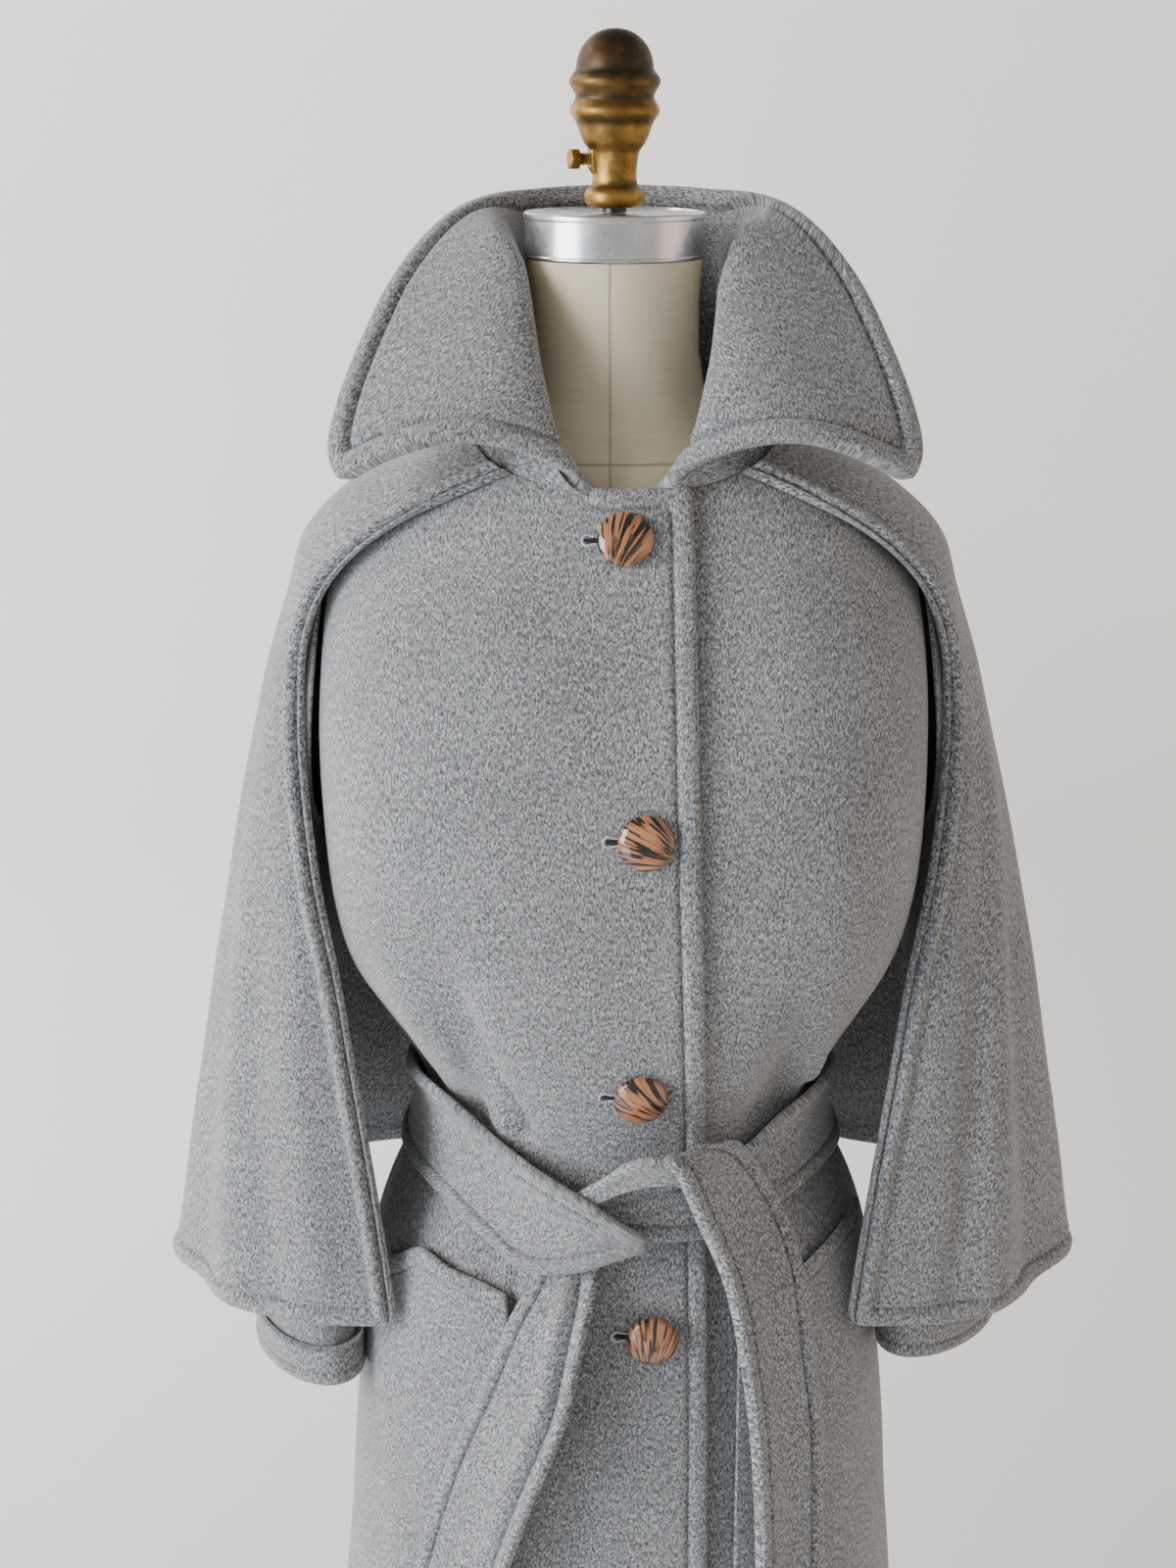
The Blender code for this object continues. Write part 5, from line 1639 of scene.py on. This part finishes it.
def build_cape_and_collar(finish):
    hem = Edge(BAND, TURNED_EDGE, PUFF)
    rolled = Edge(CAPE_BAND, CAPE_EDGE_THICK, ROLL_PUFF, True)
    for name, side in SIDES.items():
        sew(
            finish, "cape_" + name, cape(side), -side,
            {"top": SEWN, "bottom": hem, "start": rolled, "end": SEWN}, (110, 120),
            "draped", "wool_front_" + name,
            corners=[("bottom", "start")], corner_radius=0.013, creases=CAPE_CREASES[name],
        )
    edge = Edge(COLLAR_BAND, COLLAR_EDGE_THICK, COLLAR_PUFF)
    sew(
        finish, "collar", collar_face, 1,
        {"top": SEWN, "bottom": edge, "start": edge, "end": edge}, (190, 46),
        "folded", "wool_back", thickness=DOUBLE_CLOTH, corners=LOW_CORNERS,
        corner_radius=0.011, creases=COLLAR_CREASES, foot=CLOTH, across=True,
    )


def build_belt(finish):
    edge = Edge(BELT_BAND, DOUBLE_CLOTH, BELT_PUFF)
    cut_end = Edge(0.0, DOUBLE_CLOTH)
    sew(
        finish, "belt_loop", belt_face, -1,
        {"top": edge, "bottom": edge, "start": cut_end, "end": edge}, (240, 12),
        "hung", "wool_back", thickness=DOUBLE_CLOTH, drape=0.0003, creases=BELT_CREASES,
    )
    rolled = Edge(BELT_BAND, DOUBLE_CLOTH + 0.002, 1.5 * BELT_PUFF)
    narrow = Edge(KNOT_BAND, DOUBLE_CLOTH + 0.001, BELT_PUFF)
    for name, table, rows, side, creases, corners in (
        ("belt_knot", KNOT, 30, narrow, (), ()),
        ("belt_end_right", RIGHT_END, 90, edge, RIGHT_END_CREASES, LOW_CORNERS),
        ("belt_end_left", LEFT_END, 110, rolled, LEFT_END_CREASES, [("top", "start"), *LOW_CORNERS]),
    ):
        sew(
            finish, name, strip(table), -1,
            {"top": cut_end, "bottom": edge, "start": side, "end": side}, (16, rows),
            "hung", "wool_belt_loop", thickness=DOUBLE_CLOTH, drape=0.0003,
            corners=corners, creases=creases,
        )


# Stage


def build_backdrop():
    """A round sweep of pale floor that curves up into a wall on every side."""
    profile = [(0.0, SWEEP_FLOOR)]
    for step in range(1, 17):
        turn = 0.5 * math.pi * step / 16
        radius = SWEEP_FLOOR + SWEEP_BEND * math.sin(turn)
        profile.append((SWEEP_BEND * (1 - math.cos(turn)), radius))
    raise_rings(profile + [(SWEEP_WALL, profile[-1][1])], 96)
    bpy.ops.mesh.delete(type="ONLY_FACE")
    bpy.ops.mesh.select_all(action="SELECT")
    bpy.ops.mesh.normals_make_consistent(inside=True)
    bpy.ops.object.mode_set(mode="OBJECT")
    sweep = bpy.context.object
    sweep.name = "pale_sweep"
    bpy.ops.object.shade_smooth()
    sweep.data.materials.append(painted_sweep())


def build_stage():
    build_backdrop()
    camera = link("camera", bpy.data.cameras.new("camera"))
    camera.location = CAMERA_PLACE
    camera.rotation_euler = (math.radians(90 - CAMERA_PITCH), 0, 0)
    camera.data.lens = CAMERA_LENS
    camera.data.sensor_width = 36
    camera.data.sensor_fit = "AUTO"
    bpy.context.scene.camera = camera
    world = bpy.data.worlds.new("room")
    world.use_nodes = True
    sky = world.node_tree.nodes["Background"]
    sky.inputs["Color"].default_value = (0.93, 0.95, 1.0, 1)
    sky.inputs["Strength"].default_value = 0.30
    bpy.context.scene.world = world
    add_light("window", (-2.6, -1.3, 1.9), (0, 0, 1.15), 1.7, 103, (0.94, 0.97, 1.0))
    add_light("room_bounce", (2.2, -0.6, 1.0), (0, 0, 1.0), 1.4, 5, (1.0, 0.62, 0.36))
    add_light("low_bounce", (-1.7, -1.7, 0.35), (0, 0, 0.9), 1.4, 20, (0.56, 0.76, 1.0))
    add_light("wall_wash", (-2.6, 1.0, 3.2), (-1.4, 5.2, 1.6), 2.2, 330, (1.0, 0.98, 0.94))


def add_light(name, place, aim, size, power, colour):
    light = bpy.data.lights.new(name, "AREA")
    light.size = size
    light.energy = power
    light.color = colour
    made = link(name, light)
    made.location = place
    made.rotation_euler = (Vector(aim) - Vector(place)).to_track_quat("-Z", "Y").to_euler()


build_stage()
coat_wool = wool()
build_form(
    canvas(),
    aluminium(),
    brass(),
    steel("dark_rod_steel", (0.10, 0.10, 0.11), 0.35),
    steel("satin_stand_steel", (0.12, 0.12, 0.13), 0.45),
)
build_body(coat_wool)
build_sides(coat_wool)
build_cape_and_collar(coat_wool)
build_belt(coat_wool)
build_buttons(button_finish())
worked_thread = thread()
build_buttonholes(worked_thread, painted_slit_shade())
build_overlock(worked_thread)
